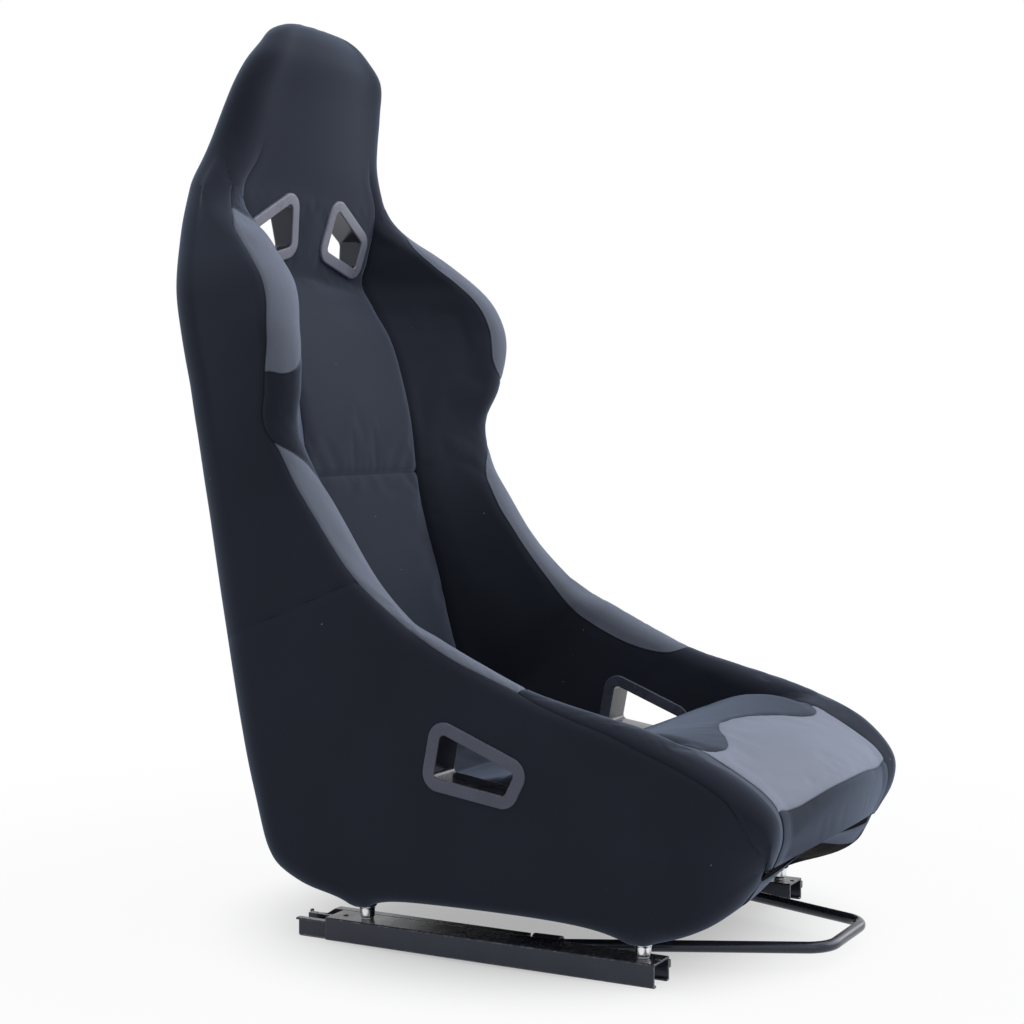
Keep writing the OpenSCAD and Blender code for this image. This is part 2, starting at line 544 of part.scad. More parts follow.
// ---- Slide rails, described for the right-hand rail --------------------------------------
web_x = 9.5;               // outer face of a lower rail's web, from the rail's middle
flange_x = 14.3;           // edge of a lower rail's flange
flange_z = 19.5;           // top of a lower rail's flange
lip_x = 11.5;              // edge of an upper rail's lip
lip_z = 2;                 // underside of an upper rail's lip
rail_play = 0.25;          // running clearance between the sliding pieces
notch_w = 5.2;             // width of a latch notch
tooth_w = 4.4;             // width of a latch tooth
tooth_h = 2.6;             // height of a latch tooth
tooth_y = 45;              // middle tooth, behind the origin
notch_y = tooth_y - 6 * notch_pitch;     // first notch
roller_ys = [-105, 45];
roller_r = (upper_z - 2 * sheet_t) / 2 - 0.1;
roller_z = upper_z / 2;
roller_w = 12;
axle_play = 0.08;          // radial clearance of a roller on its axle
pivot_play = 0.08;         // radial clearance of a lever on its pivot pin
upper_x = upper_w / 2;
rail_y = -slide_set - rail_len / 2;      // front end of the upper rails
// Plastic glides on the upper rail's lips, under the lower rail's flanges
glide_w = upper_x - sheet_t - web_x - 0.7;
glide_l = 24;
glide_ys = [-150, 84];
module side_of(side) { scale([side, 1, 1]) translate([bolt_x, 0, 0]) children(); }
function both(half) = concat(half, [for (i = [len(half) - 1:-1:0]) [-half[i][0], half[i][1]]]);
// Pressed lug on a lower rail's outer web: the glides stop against it at the ends of travel
lug_l = 6;
lug_w = 3.4;
lug_ys = [glide_ys[0] + glide_l + travel_rear * notch_pitch + 0.3,
  glide_ys[1] - travel_front * notch_pitch - 0.3 - lug_l];
module lower_rail() {
  section = both([[web_x - 2, 0], [web_x, 2], [web_x, flange_z - sheet_t], [flange_x, flange_z - sheet_t],
    [flange_x, flange_z], [web_x - sheet_t, flange_z], [web_x - sheet_t, sheet_t + 1],
    [web_x - sheet_t - 1, sheet_t]]);
  difference() {
    along_y(section, -rail_len / 2, rail_len / 2);
    for (y = [-floor_gap / 2, floor_gap / 2]) translate([0, y, -1]) cylinder(h = sheet_t + 2, d = floor_d);
    for (k = [0:notch_count - 1]) translate([-flange_x - 1, notch_y + k * notch_pitch - notch_w / 2,
      flange_z - sheet_t - 1]) cube([flange_x - web_x, notch_w, sheet_t + 2]);
  }
  for (y = lug_ys) translate([web_x - 0.2, y, 7]) cube([lug_w + 0.2, lug_l, 7]);
}
window_y = [tooth_y - notch_pitch - 5.5, tooth_y + notch_pitch + 5.5];
pivot_y = -58;
pivot_z = 14;
module upper_rail() {
  inside = [[-upper_x + sheet_t, lip_z + sheet_t], [upper_x - sheet_t, lip_z + sheet_t],
    [upper_x - sheet_t, upper_z - sheet_t], [-upper_x + sheet_t, upper_z - sheet_t]];
  mouth = [[-lip_x, 0], [lip_x, 0], [lip_x, 6], [-lip_x, 6]];
  skin = [[-upper_x + 1, lip_z], [upper_x - 1, lip_z], [upper_x, lip_z + 1], [upper_x, upper_z - 1],
    [upper_x - 1, upper_z], [-upper_x + 1, upper_z], [-upper_x, upper_z - 1], [-upper_x, lip_z + 1]];
  difference() {
    along_y(skin, rail_y, rail_y + rail_len);
    along_y(inside, rail_y - 1, rail_y + rail_len + 1);
    along_y(mouth, rail_y - 1, rail_y + rail_len + 1);
    for (y = bolt_ys) translate([0, y, upper_z - sheet_t - 1]) cylinder(h = sheet_t + 2, d = bolt_hole);
    translate([-upper_x - 1, window_y[0], 6]) cube([sheet_t + 2, window_y[1] - window_y[0], 15]);
    translate([-upper_x - 1, pivot_y, pivot_z]) rotate([0, 90, 0]) cylinder(h = sheet_t + 2, d = pivot_d);
  }
}
// Hooked tab on the +X side of each upper rail's front end
module rail_tab() { translate([upper_x - 0.5, rail_y, 13]) cube([4.5, 2, 7]); }
module lower_rail_right() { color([0.1, 0.1, 0.11]) side_of(1) lower_rail(); }
module lower_rail_left() { color([0.1, 0.1, 0.11]) side_of(-1) lower_rail(); }
module upper_rail_right() {
  color([0.1, 0.1, 0.11]) {
    side_of(1) upper_rail();
    translate([bolt_x, 0, 0]) rail_tab();
  }
}
module upper_rail_left() {
  color([0.1, 0.1, 0.11]) {
    side_of(-1) upper_rail();
    translate([-bolt_x, 0, 0]) rail_tab();
  }
}
module rail_glides() {
  color([0.85, 0.85, 0.8]) for (side = [-1, 1]) side_of(side)
    for (x = [upper_x - sheet_t - glide_w, sheet_t - upper_x]) for (y = glide_ys)
    translate([x, y, lip_z + sheet_t]) cube([glide_w, glide_l, flange_z - lip_z - 2 * sheet_t - rail_play]);
}
module roller(y) {
  translate([-roller_w / 2, y, roller_z]) rotate([0, 90, 0]) difference() {
    cylinder(h = roller_w, r = roller_r);
    translate([0, 0, -1]) cylinder(h = roller_w + 2, d = axle_d + 2 * axle_play);
  }
}
module rollers(side, k) { color([0.75, 0.75, 0.78]) side_of(side) roller(roller_ys[k]); }
module roller_front_right() { rollers(1, 0); }
module roller_rear_right() { rollers(1, 1); }
module roller_front_left() { rollers(-1, 0); }
module roller_rear_left() { rollers(-1, 1); }
cage_x = web_x - sheet_t - 0.3;
cage_t = 0.8;
module roller_cage() {
  for (x = [-cage_x, cage_x - cage_t]) translate([x, roller_ys[0] - 5, roller_z - 3])
    cube([cage_t, roller_ys[1] - roller_ys[0] + 10, 6]);
  for (y = roller_ys) translate([-cage_x, y, roller_z]) rotate([0, 90, 0])
    cylinder(h = 2 * cage_x, d = axle_d);
}
module roller_cage_right() { color([0.55, 0.55, 0.58]) side_of(1) roller_cage(); }
module roller_cage_left() { color([0.55, 0.55, 0.58]) side_of(-1) roller_cage(); }

// ---- Latch, described for the right-hand rail --------------------------------------------
plate_x = -upper_x - 2;             // outer face of the lever, from the rail's middle
lever_x = plate_x - lever_t;        // inner face of the lever
ear_x = lever_x - 3.4;              // outer face of the bracket's ear
shelf_x = ear_x - sheet_t;          // inner edge of the bracket
spring_x = lever_x - 2;             // plane of the spring's middle line
tail_y = 185;                       // rear end of the bracket
shelf_z = upper_z - sheet_t;
rear_pin = [172, 13];
front_pin = [pivot_y + 7, pivot_z - 7];
pin_d = 3.8;                        // diameter of a spring's pin
// Bracket on the rail's inner wall: shelf, pivot ear, web, tail with an upright tab
module latch_bracket() {
  wall = -upper_x;
  web = [[72, upper_z], [72, 6.5], [tail_y, 6.5], [tail_y, 9], [163, 16], [150, upper_z]];
  difference() {
    union() {
      translate([shelf_x, -64, shelf_z]) cube([wall - shelf_x, 214, sheet_t]);
      translate([shelf_x, pivot_y - 6, 9]) cube([sheet_t, 16, shelf_z - 8]);
      along_x(web, wall - sheet_t, wall);
      translate([shelf_x, 165, 6.5]) cube([wall - shelf_x, tail_y - 165, sheet_t]);
      along_y([[shelf_x + 1, 7], [wall - 2, 7], [wall - 4, 19], [shelf_x + 3, 19]], 180, 182);
      translate([shelf_x + 1, rear_pin[0], rear_pin[1]]) rotate([0, 90, 0])
        cylinder(h = wall - shelf_x - 1.5, d = pin_d);
    }
    translate([shelf_x - 1, pivot_y, pivot_z]) rotate([0, 90, 0]) cylinder(h = sheet_t + 2, d = pivot_d);
  }
}
module latch_bracket_right() { color([0.1, 0.1, 0.11]) side_of(1) latch_bracket(); }
module latch_bracket_left() { color([0.1, 0.1, 0.11]) side_of(-1) latch_bracket(); }
module pivot_pin() {
  translate([shelf_x - 2, pivot_y, pivot_z]) rotate([0, 90, 0]) {
    cylinder(h = 2, d = pivot_d + 4);
    cylinder(h = sheet_t - shelf_x - upper_x + 1.8, d = pivot_d);
  }
}
module pivot_pins() { color([0.7, 0.7, 0.72]) for (side = [-1, 1]) side_of(side) pivot_pin(); }

// Handle: one bent bar, symmetric, in a plane that rises towards the front
socket_x = bolt_x + lever_x - 5.6;       // middle of a handle leg
socket_y = -96;                          // front end of a lever's socket
leg_y = -70;                             // rear end of a handle leg
grip_z = 17.2;
corner_x = handle_w / 2;
splay = atan((socket_x - corner_x) / (handle_y + socket_y));
module handle_frame() { translate([0, leg_y, grip_z]) rotate([-handle_rise, 0, 0]) children(); }
// Bar of diameter d from a to b in the XY plane, run on a little at both ends
module bar(a, b, d) {
  more = 0.2 * unit(b - a);
  translate([a[0] - more[0], a[1] - more[1], 0]) rotate([0, 90, atan2(b[1] - a[1], b[0] - a[0])])
    cylinder(h = norm(b - a) + 0.4, d = d);
}
// Bend of a bar round centre c, from angle a through sweep w
module bend(c, a, w, d) {
  translate([c[0], c[1], 0]) rotate([0, 0, a]) rotate_extrude(angle = w)
    translate([handle_bend, 0]) circle(d = d);
}
module handle_half() {
  knee = [socket_x, socket_y - leg_y];
  front = [corner_x, -handle_y - leg_y];
  along_arm = unit(front - knee);
  cut = handle_bend * tan(splay / 2);
  reach = handle_bend * tan((90 - splay) / 2);
  bar([socket_x, 0], knee + [0, cut], handle_d);
  bend(knee + [-handle_bend, cut], -splay, splay, handle_d);
  bar(knee + along_arm * cut, front - along_arm * reach, handle_d);
  bend(front + [-reach, handle_bend], -90, 90 - splay, handle_d);
  bar(front - [reach, 0], [0, front[1]], handle_d);
}
module handle_bar() {
  color([0.1, 0.1, 0.11]) moulded() union() handle_frame() {
    handle_half($fn = 28);
    mirror([1, 0, 0]) handle_half($fn = 28);
  }
}
// The teeth stand just under the flange, so that the rail is free; they lock when they rise
tooth_z = flange_z - sheet_t - 0.4 - tooth_h;
module latch_lever() {
  body = [[socket_y + 6, 12], [pivot_y, 6.6], [pivot_y + 14, 8], [tooth_y + 20, 12], [tooth_y + 20, 18.4],
    [pivot_y + 10, 20.5], [pivot_y, 21.4], [socket_y + 6, 20.5]];
  difference() {
    union() {
      along_x(body, lever_x, plate_x);
      translate([lever_x, pivot_y, pivot_z]) rotate([0, 90, 0]) cylinder(h = lever_t, r = 7.4);
      translate([lever_x, front_pin[0], front_pin[1]]) rotate([0, 90, 0]) cylinder(h = lever_t, r = 3.6);
      translate([lever_x - 2.9, front_pin[0], front_pin[1]]) rotate([0, 90, 0]) cylinder(h = 4, d = pin_d);
      for (k = [-1:1]) translate([plate_x - 1, tooth_y + k * notch_pitch - tooth_w / 2, tooth_z])
        cube([1 - plate_x - web_x - 1.9, tooth_w, tooth_h]);
      translate([-bolt_x, 0, 0]) handle_frame()
        bar([socket_x, 2], [socket_x, socket_y - leg_y], handle_d + 4);
    }
    translate([lever_x - 1, pivot_y, pivot_z]) rotate([0, 90, 0])
      cylinder(h = lever_t + 2, d = pivot_d + 2 * pivot_play);
    translate([-bolt_x, 0, 0]) handle_frame() bar([socket_x, 0], [socket_x, -40], handle_d);
  }
}
module latch_lever_right() { color([0.3, 0.3, 0.32]) side_of(1) latch_lever(); }
module latch_lever_left() { color([0.3, 0.3, 0.32]) side_of(-1) latch_lever(); }

// ---- Return springs ----------------------------------------------------------------------
coil_r = (spring_d - wire_d) / 2;
coil_y = 90;                        // front end of the coil
coil_end = 162;                     // rear end of the coil
rings = 8;
hook_f = pin_d / 2 + wire_d / 2 + 0.6;    // the lever's pin moves inside this hook
hook_r = pin_d / 2 + wire_d / 2 + 0.15;
coil_z = rear_pin[1] + hook_r - coil_r;
// Middle line of a spring in [x, y, z] from its plane: hook, leg, curls, leg, hook
spring_path = concat(
  [for (a = [-60:40:100]) [0, front_pin[0] - hook_f * sin(a + 80), front_pin[1] + hook_f * -cos(a + 80)]],
  [for (k = [0:3]) [0, front_pin[0] + 6 + (coil_y - 12 - front_pin[0]) * k / 3,
    front_pin[1] + hook_f + (coil_z + coil_r - front_pin[1] - hook_f) * k / 3]],
  [for (k = [0:curls * rings]) let (a = 360 * k / rings) [coil_r * sin(a),
    coil_y + (coil_end - coil_y) * k / (curls * rings), coil_z + coil_r * cos(a)]],
  [for (a = [0:40:200]) [0, rear_pin[0] + hook_r * sin(a), rear_pin[1] + hook_r * cos(a)]]);
function tangent(p, i) = unit(p[min(i + 1, len(p) - 1)] - p[max(i - 1, 0)]);
function carried(p, n, i) = let (t = tangent(p, i)) unit(n - (n * t) * t);
function frames(p, i = 0, n = [1, 0, 0]) = i == len(p) ? []
  : let (m = carried(p, n, i)) concat([m], frames(p, i + 1, m));
module swept(path, d, sides = 6) {
  f = frames(path);
  count = len(path) * sides;
  polyhedron([for (i = [0:len(path) - 1]) let (t = tangent(path, i), v = cross(t, f[i]))
      for (k = [0:sides - 1]) path[i] + d / 2 * (cos(360 * k / sides) * f[i] + sin(360 * k / sides) * v)],
    concat([for (i = [0:len(path) - 2]) for (k = [0:sides - 1]) let (a = i * sides + k,
        b = i * sides + (k + 1) % sides) for (t = [[a, b + sides, b], [a, a + sides, b + sides]]) t],
      [for (k = [1:sides - 2]) [0, k, k + 1]],
      [for (k = [1:sides - 2]) [count - sides, count - sides + k + 1, count - sides + k]]));
}
// Least distance between points of the path that lie more than half a curl apart
apart = [for (i = [0:len(spring_path) - 1]) for (j = [i + 5:1:len(spring_path) - 1])
  norm(spring_path[i] - spring_path[j])];
echo(spring_gap = min(apart) - wire_d);
module latch_spring() { translate([spring_x, 0, 0]) swept(spring_path, wire_d); }
module latch_spring_right() { color([0.7, 0.7, 0.72]) side_of(1) latch_spring(); }
module latch_spring_left() { color([0.7, 0.7, 0.72]) side_of(-1) latch_spring(); }

seat_shell();
back_cover();
side_cover_left();
side_cover_right();
head_pad();
back_pad_upper();
back_pad_lower();
shoulder_bolster_left();
shoulder_bolster_right();
hip_bolster_left();
hip_bolster_right();
seat_cushion();
shoulder_bezel_front_left();
shoulder_bezel_front_right();
shoulder_bezel_rear_left();
shoulder_bezel_rear_right();
lap_bezel_outer_left();
lap_bezel_outer_right();
lap_bezel_inner_left();
lap_bezel_inner_right();
seat_inserts();
seat_spacers();
seat_washers();
seat_bolts();
upper_rail_left();
upper_rail_right();
lower_rail_left();
lower_rail_right();
rail_glides();
roller_cage_left();
roller_cage_right();
roller_front_left();
roller_front_right();
roller_rear_left();
roller_rear_right();
latch_bracket_left();
latch_bracket_right();
pivot_pins();
handle_bar();
latch_lever_left();
latch_lever_right();
latch_spring_left();
latch_spring_right();
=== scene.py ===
import logging
import math
from dataclasses import dataclass, field
from enum import Enum
from typing import Callable

import bmesh
import bpy
import numpy as np
from mathutils import Matrix, Vector


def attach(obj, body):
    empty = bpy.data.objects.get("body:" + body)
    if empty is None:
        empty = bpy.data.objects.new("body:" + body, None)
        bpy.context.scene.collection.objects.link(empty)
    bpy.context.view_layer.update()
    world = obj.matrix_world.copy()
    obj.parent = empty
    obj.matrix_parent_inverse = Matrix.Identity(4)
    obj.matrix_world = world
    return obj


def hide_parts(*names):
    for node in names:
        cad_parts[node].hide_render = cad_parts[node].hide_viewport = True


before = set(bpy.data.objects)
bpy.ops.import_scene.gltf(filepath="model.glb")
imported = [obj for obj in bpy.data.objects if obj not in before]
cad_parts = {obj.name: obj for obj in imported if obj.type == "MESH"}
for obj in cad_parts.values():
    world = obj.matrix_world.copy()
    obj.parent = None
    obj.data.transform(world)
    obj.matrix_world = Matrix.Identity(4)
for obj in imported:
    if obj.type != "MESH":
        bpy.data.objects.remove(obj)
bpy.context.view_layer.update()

MM = 0.001
Array = np.ndarray
Colour = tuple[float, float, float, float]
Faces = list[tuple[int, ...]]
Material = bpy.types.Material
Node = bpy.types.Node
Outline = tuple[tuple[float, float], ...]
Piece = bpy.types.Object
Place = tuple[float, float, float]
Socket = bpy.types.NodeSocket
Sockets = dict[str, Socket]
LOG = logging.getLogger("bucket_seat")


class Side(Enum):
    """Left and right of the seat as its sitter has them, with the sign of X there."""

    LEFT = -1
    RIGHT = 1

    @property
    def word(self) -> str:
        """The side's name as the nodes have it."""
        return self.name.lower()


class Body(Enum):
    """Bodies of the mechanism that the pieces ride on."""

    SEAT = "seat"
    RAILS = "rails"
    LATCH = "latch"


# ---- Curves and sections of the seat ------------------------------------------------------


@dataclass(frozen=True)
class Profile:
    """Smooth curve along the seat, as rows of girth and values, with the girth falling."""

    rows: tuple[tuple[float, ...], ...]

    def at(self, girth: float | Array, column: int = 1) -> Array:
        """Value of the curve.

        Args:
            girth: Girth in mm, one number or many.
            column: Which of the row's values is meant.

        Returns:
            The value at each girth.
        """
        table = np.array(self.rows, dtype=float)
        g, v = table[:, 0], table[:, column]
        last = len(g) - 1
        before = np.maximum(np.arange(last + 1) - 1, 0)
        after = np.minimum(np.arange(last + 1) + 1, last)
        slope = (v[after] - v[before]) / (g[after] - g[before])
        where = np.asarray(girth, dtype=float)
        i = np.clip(np.searchsorted(-g, -where, side="right") - 1, 0, last - 1)
        h = g[i + 1] - g[i]
        s = (where - g[i]) / h
        return ((2 * s**3 - 3 * s**2 + 1) * v[i] + (s**3 - 2 * s**2 + s) * h * slope[i]
                + (3 * s**2 - 2 * s**3) * v[i + 1] + (s**3 - s**2) * h * slope[i + 1])


@dataclass(frozen=True)
class Section:
    """One cross-section: its rear point, the direction to the wing top and the height there."""

    girth: float
    rear: Array
    up: Array
    high: float

    def place(self, x: Array, height: Array, side: float = 1.0) -> Array:
        """Points of the section in metres.

        Args:
            x: Distances from the centre plane in mm.
            height: Heights above the rear point in mm.
            side: Sign of X.

        Returns:
            One point for each pair of values.
        """
        y = self.rear[0] + self.up[0] * height
        z = self.rear[1] + self.up[1] * height
        return np.stack([x * side, y, z], axis=-1) * MM


def mirrored(x: Array, height: Array) -> tuple[Array, Array]:
    """Half a row of distances and heights, from the centre plane out, made whole from left to right."""
    return np.concatenate([-x[:0:-1], x]), np.concatenate([height[:0:-1], height])


@dataclass(frozen=True)
class SeatForm:
    """The seat's form: curves along the girth, 0 at the waist, up the back and down to the nose."""

    stretch_points: int = 30
    belly: float = 1.6
    rear: Profile = Profile((
        (428, 282, 924.5), (420, 288, 917), (398, 290.5, 896), (342, 308.5, 844), (276, 333, 778),
        (242, 336, 744), (138, 315, 640), (49, 304, 551), (0, 300, 502), (-80, 285, 416),
        (-160, 269, 322), (-240, 245, 198), (-290, 226, 126), (-325, 205, 76), (-360, 170, 56),
        (-400, 125, 50), (-640, -150, 50), (-710, -220, 51), (-760, -256, 60), (-800, -280, 76),
        (-830, -292, 92), (-850, -296, 100), (-880, -292, 104)))
    crest: Profile = Profile((
        (428, 276, 924.5), (420, 264, 917.5), (398, 253.5, 897), (376, 250, 877), (342, 258.5, 844),
        (276, 270, 778), (242, 274, 744), (218, 261, 720), (182, 215, 684), (138, 171, 640),
        (92, 157, 594), (40, 162, 542), (0, 173, 502), (-40, 162, 463), (-80, 141, 429),
        (-160, 95, 364), (-240, 48, 322), (-320, 10, 303), (-400, -30, 284), (-500, -84, 261),
        (-600, -142, 246), (-640, -169, 240), (-680, -197, 233), (-720, -227, 223.5),
        (-760, -257, 211.5), (-800, -284, 197), (-830, -307, 178), (-850, -318, 160),
        (-865, -317, 138), (-880, -306, 112)))
    outer: Profile = Profile((
        (428, 26), (424, 50), (414, 76), (394, 100), (374, 116), (342, 128), (309, 134),
        (276, 142), (242, 162), (188, 195), (152, 217), (109, 231), (88, 232), (43, 222),
        (0, 210), (-60, 205), (-100, 205), (-700, 205), (-740, 205), (-790, 201), (-830, 189),
        (-850, 179), (-865, 168), (-880, 152)))
    hind: Profile = Profile((
        (428, 24), (424, 48), (414, 73), (394, 96), (374, 112), (342, 125), (276, 140),
        (242, 159), (191, 190), (138, 214), (92, 216), (0, 205), (-60, 205), (-100, 205),
        (-700, 205), (-740, 205), (-790, 187), (-830, 166), (-880, 138)))
    roll: Profile = Profile((
        (428, 3), (420, 10), (398, 19), (242, 26), (152, 27), (92, 25), (40, 22), (0, 22),
        (-60, 27), (-130, 27), (-240, 20), (-320, 17), (-340, 17), (-560, 18), (-660, 22),
        (-760, 22), (-800, 20), (-830, 17), (-850, 13), (-865, 9), (-880, 4)))
    corner: Profile = Profile((
        (428, 3), (420, 10), (398, 18), (242, 34), (92, 42), (-280, 42), (-340, 30), (-400, 20),
        (-740, 18), (-800, 20), (-830, 16), (-880, 4)))
    dish: Profile = Profile((
        (428, 0), (368, 4), (276, 23), (242, 32), (218, 34), (182, 25), (158, 18), (132, 19),
        (92, 22), (0, 26), (-240, 30), (-330, 26), (-400, 26), (-700, 32), (-790, 26), (-830, 14),
        (-880, 0)))
    dish_fill: Profile = Profile((
        (428, 3), (112, 3), (92, 3), (-40, 1), (-80, 1), (-880, 1)))
    tuck: Profile = Profile((
        (428, 0), (-300, 0), (-380, 9), (-560, 9), (-640, 0), (-880, 0)))
    crease_x: Profile = Profile((
        (428, 12), (420, 42), (374, 78), (276, 104), (242, 124), (182, 123), (92, 111), (0, 107),
        (-120, 117), (-240, 143), (-300, 171), (-330, 171), (-560, 171), (-580, 171),
        (-640, 162), (-720, 152), (-800, 150), (-850, 149), (-880, 143)))
    crease_h: Profile = Profile((
        (428, 5), (420, 22), (398, 35), (376, 44), (342, 48), (276, 60), (242, 59), (218, 51.5),
        (182, 36.3), (158, 26), (132, 38), (92, 60), (40, 74), (0, 80), (-80, 74), (-160, 76),
        (-240, 76), (-300, 82), (-340, 92), (-400, 94), (-500, 97), (-540, 104), (-580, 122),
        (-620, 146), (-660, 158), (-700, 163), (-730, 161), (-760, 144), (-800, 113), (-830, 82),
        (-850, 58.5), (-865, 39), (-880, 15)))
    panel_h: Profile = Profile((
        (428, 7), (420, 26), (398, 40), (376, 50), (342, 55), (276, 68), (242, 63), (218, 54),
        (182, 38.8), (158, 28.5), (132, 41), (92, 64), (40, 78), (0, 84), (-80, 78), (-160, 80),
        (-240, 84), (-300, 100), (-340, 112), (-400, 112), (-480, 122), (-525, 134), (-567, 146),
        (-600, 156), (-640, 164), (-700, 166), (-760, 148), (-800, 124), (-830, 98), (-850, 81),
        (-865, 68), (-880, 38)))
    edge_lift: Profile = Profile((
        (428, -1), (374, -4), (276, -5), (242, -3), (218, -1), (158, 0), (92, 0), (-240, 0),
        (-320, 6), (-560, 9), (-640, 8), (-720, 3), (-760, -2), (-800, -9), (-830, -14), (-850, -20),
        (-865, -26), (-880, -20)))
    seam: Profile = Profile((
        (242, 9), (224, 11), (210, 17), (192, 28), (172, 29), (148, 30), (106, 31.5), (80, 33),
        (54, 35.6), (26, 36), (-2, 33), (-24, 25), (-70, 25.6), (-96, 24.6), (-144, 21.6),
        (-176, 18.3), (-214, 13.3), (-262, 11.7), (-322, 14), (-394, 13.9), (-440, 11.5),
        (-488, 10), (-532, 13.6), (-638, 21.7), (-686, 26.6), (-726, 27.9), (-780, 29.3),
        (-806, 33), (-826, 49), (-842, 51), (-864, 42.7), (-880, 40)))

    def section(self, girth: float) -> Section:
        """Cross-section at a girth."""
        rear = np.array([self.rear.at(girth, 1), self.rear.at(girth, 2)])
        crest = np.array([self.crest.at(girth, 1), self.crest.at(girth, 2)])
        high = float(np.linalg.norm(crest - rear))
        return Section(float(girth), rear, (crest - rear) / high, high)

    def panel(self, cut: Section, across: int, edge: int) -> tuple[Array, Array]:
        """Half of the flat panel, from its middle to its drawn-in edge in the crease.

        Args:
            cut: The section.
            across: Number of steps over the flat part.
            edge: Number of steps round the edge.

        Returns:
            Distances from the centre plane and heights, in mm.
        """
        g = cut.girth
        x = float(self.crease_x.at(g) - max(0.0, float(self.tuck.at(g))))
        e = min(18.0, x / 4)
        p, j, u = (float(c.at(g)) for c in (self.panel_h, self.crease_h, self.edge_lift))
        k = np.linspace(0, 1, across + 1)
        a = np.linspace(0, math.pi / 2, edge + 1)[1:]
        return (np.concatenate([(x - e) * k, x - e + e * np.sin(a)]),
                np.concatenate([p + u * k**2, j + (p + u - j) * np.cos(a)]))

    def wing(self, cut: Section) -> tuple[Array, Array, Array, float]:
        """Half of the wing: crease, wall, rolled top, side, rear corner, hollow rear.

        Args:
            cut: The section.

        Returns:
            Arc length in mm from the wing top, positive down the outside, the distances from
            the centre plane, the heights, and the arc length where the rear corner ends.
        """
        g = cut.girth
        r, c, w, o, x, j = (float(t.at(g)) for t in (
            self.roll, self.corner, self.hind, self.outer, self.crease_x, self.crease_h))
        cx, cy = o - r - x, cut.high - r - j
        turn = math.atan2(cy, cx) + math.asin(min(1.0, r / math.hypot(cx, cy)))
        tx, ty = x + cx - r * math.sin(turn), j + cy + r * math.cos(turn)
        k = np.linspace(0, 1, self.stretch_points)
        a = turn + math.pi / 2 - turn * k
        quarter = math.pi / 2 * (1 - k)
        flat = w - c
        belly = self.belly * np.sin(math.pi * k) * np.clip((cut.high - r - c) / 80, 0, 1)
        px = np.concatenate([x + (tx - x) * k[:-1], x + cx + r * np.cos(a),
                             (o - r + r * np.cos(quarter))[1:], (o + (w - o) * k + belly)[1:],
                             (flat + c * np.sin(quarter))[1:], (flat * (1 - k))[1:]])
        ph = np.concatenate([j + (ty - j) * k[:-1], j + cy + r * np.sin(a),
                             (cut.high - r + r * np.sin(quarter))[1:],
                             (cut.high - r + (c - cut.high + r) * k)[1:],
                             (c - c * np.cos(quarter))[1:],
                             self.hollow(g, flat * (1 - k), flat)[1:]])
        s = np.concatenate([[0], np.cumsum(np.hypot(np.diff(px), np.diff(ph)))])
        steps = self.stretch_points - 1
        top = s[2 * steps]
        return s - top, px, ph, float(s[5 * steps] - top)

    def rear_row(self, cut: Section, half_columns: int, sunk: float = 0.0) -> Array:
        """Points over the rear face between its corners, from left to right.

        Args:
            cut: The section.
            half_columns: Number of points from the centre plane to a corner.
            sunk: Distance that the row lies inside the form, in mm.

        Returns:
            The row of points in metres.
        """
        s, x, h, turn = self.wing(cut)
        a = np.linspace(s[-1], turn, half_columns)
        return cut.place(*mirrored(np.interp(a, s, x), np.interp(a, s, h) + sunk))

    def hollow(self, girth: float, x: Array, flat: float) -> Array:
        """Depth of the hollow rear face at distances from the centre plane, in mm."""
        fill = max(1.0, float(self.dish_fill.at(girth)))
        return float(self.dish.at(girth)) * (1 + np.cos(math.pi * (np.abs(x) / flat) ** fill)) / 2

    def seam_at(self, girth: float, turn: float) -> float:
        """Arc length of the outer seam, kept short of the rear corner's end."""
        return min(float(self.seam.at(girth)), 0.8 * turn)


FORM = SeatForm()


# ---- Building meshes ----------------------------------------------------------------------


def run_length(grid: Array, axis: int) -> Array:
    """Length along the rows or columns of a grid of points, in metres."""
    step = np.linalg.norm(np.diff(grid, axis=axis), axis=2)
    pad = [(0, 0), (0, 0)]
    pad[axis] = (1, 0)
    return np.cumsum(np.pad(step, pad), axis=axis)


def edge_distances(grid: Array, axis: int) -> tuple[Array, Array]:
    """Lengths over a grid from its first and from its last row or column, in metres."""
    return run_length(grid, axis), np.flip(run_length(np.flip(grid, axis), axis), axis)


def grid_normals(grid: Array, outward: Array) -> Array:
    """Unit normals of a grid of points.

    Args:
        grid: Points, rows by columns by three.
        outward: One direction, or one for each point, that the normals are to agree with.

    Returns:
        One normal for each point.
    """
    n = np.cross(np.gradient(grid, axis=1), np.gradient(grid, axis=0))
    n /= np.maximum(np.linalg.norm(n, axis=2, keepdims=True), 1e-12)
    return n if (n * outward).sum() > 0 else -n


def eased(distance: Array, reach: float, depth: float) -> Array:
    """How far a padded edge falls away at a distance from it, as a rounded shoulder."""
    t = np.clip(1 - distance / reach, 0, 1)
    return depth * (1 - np.sqrt(np.maximum(1 - t * t, 0)))


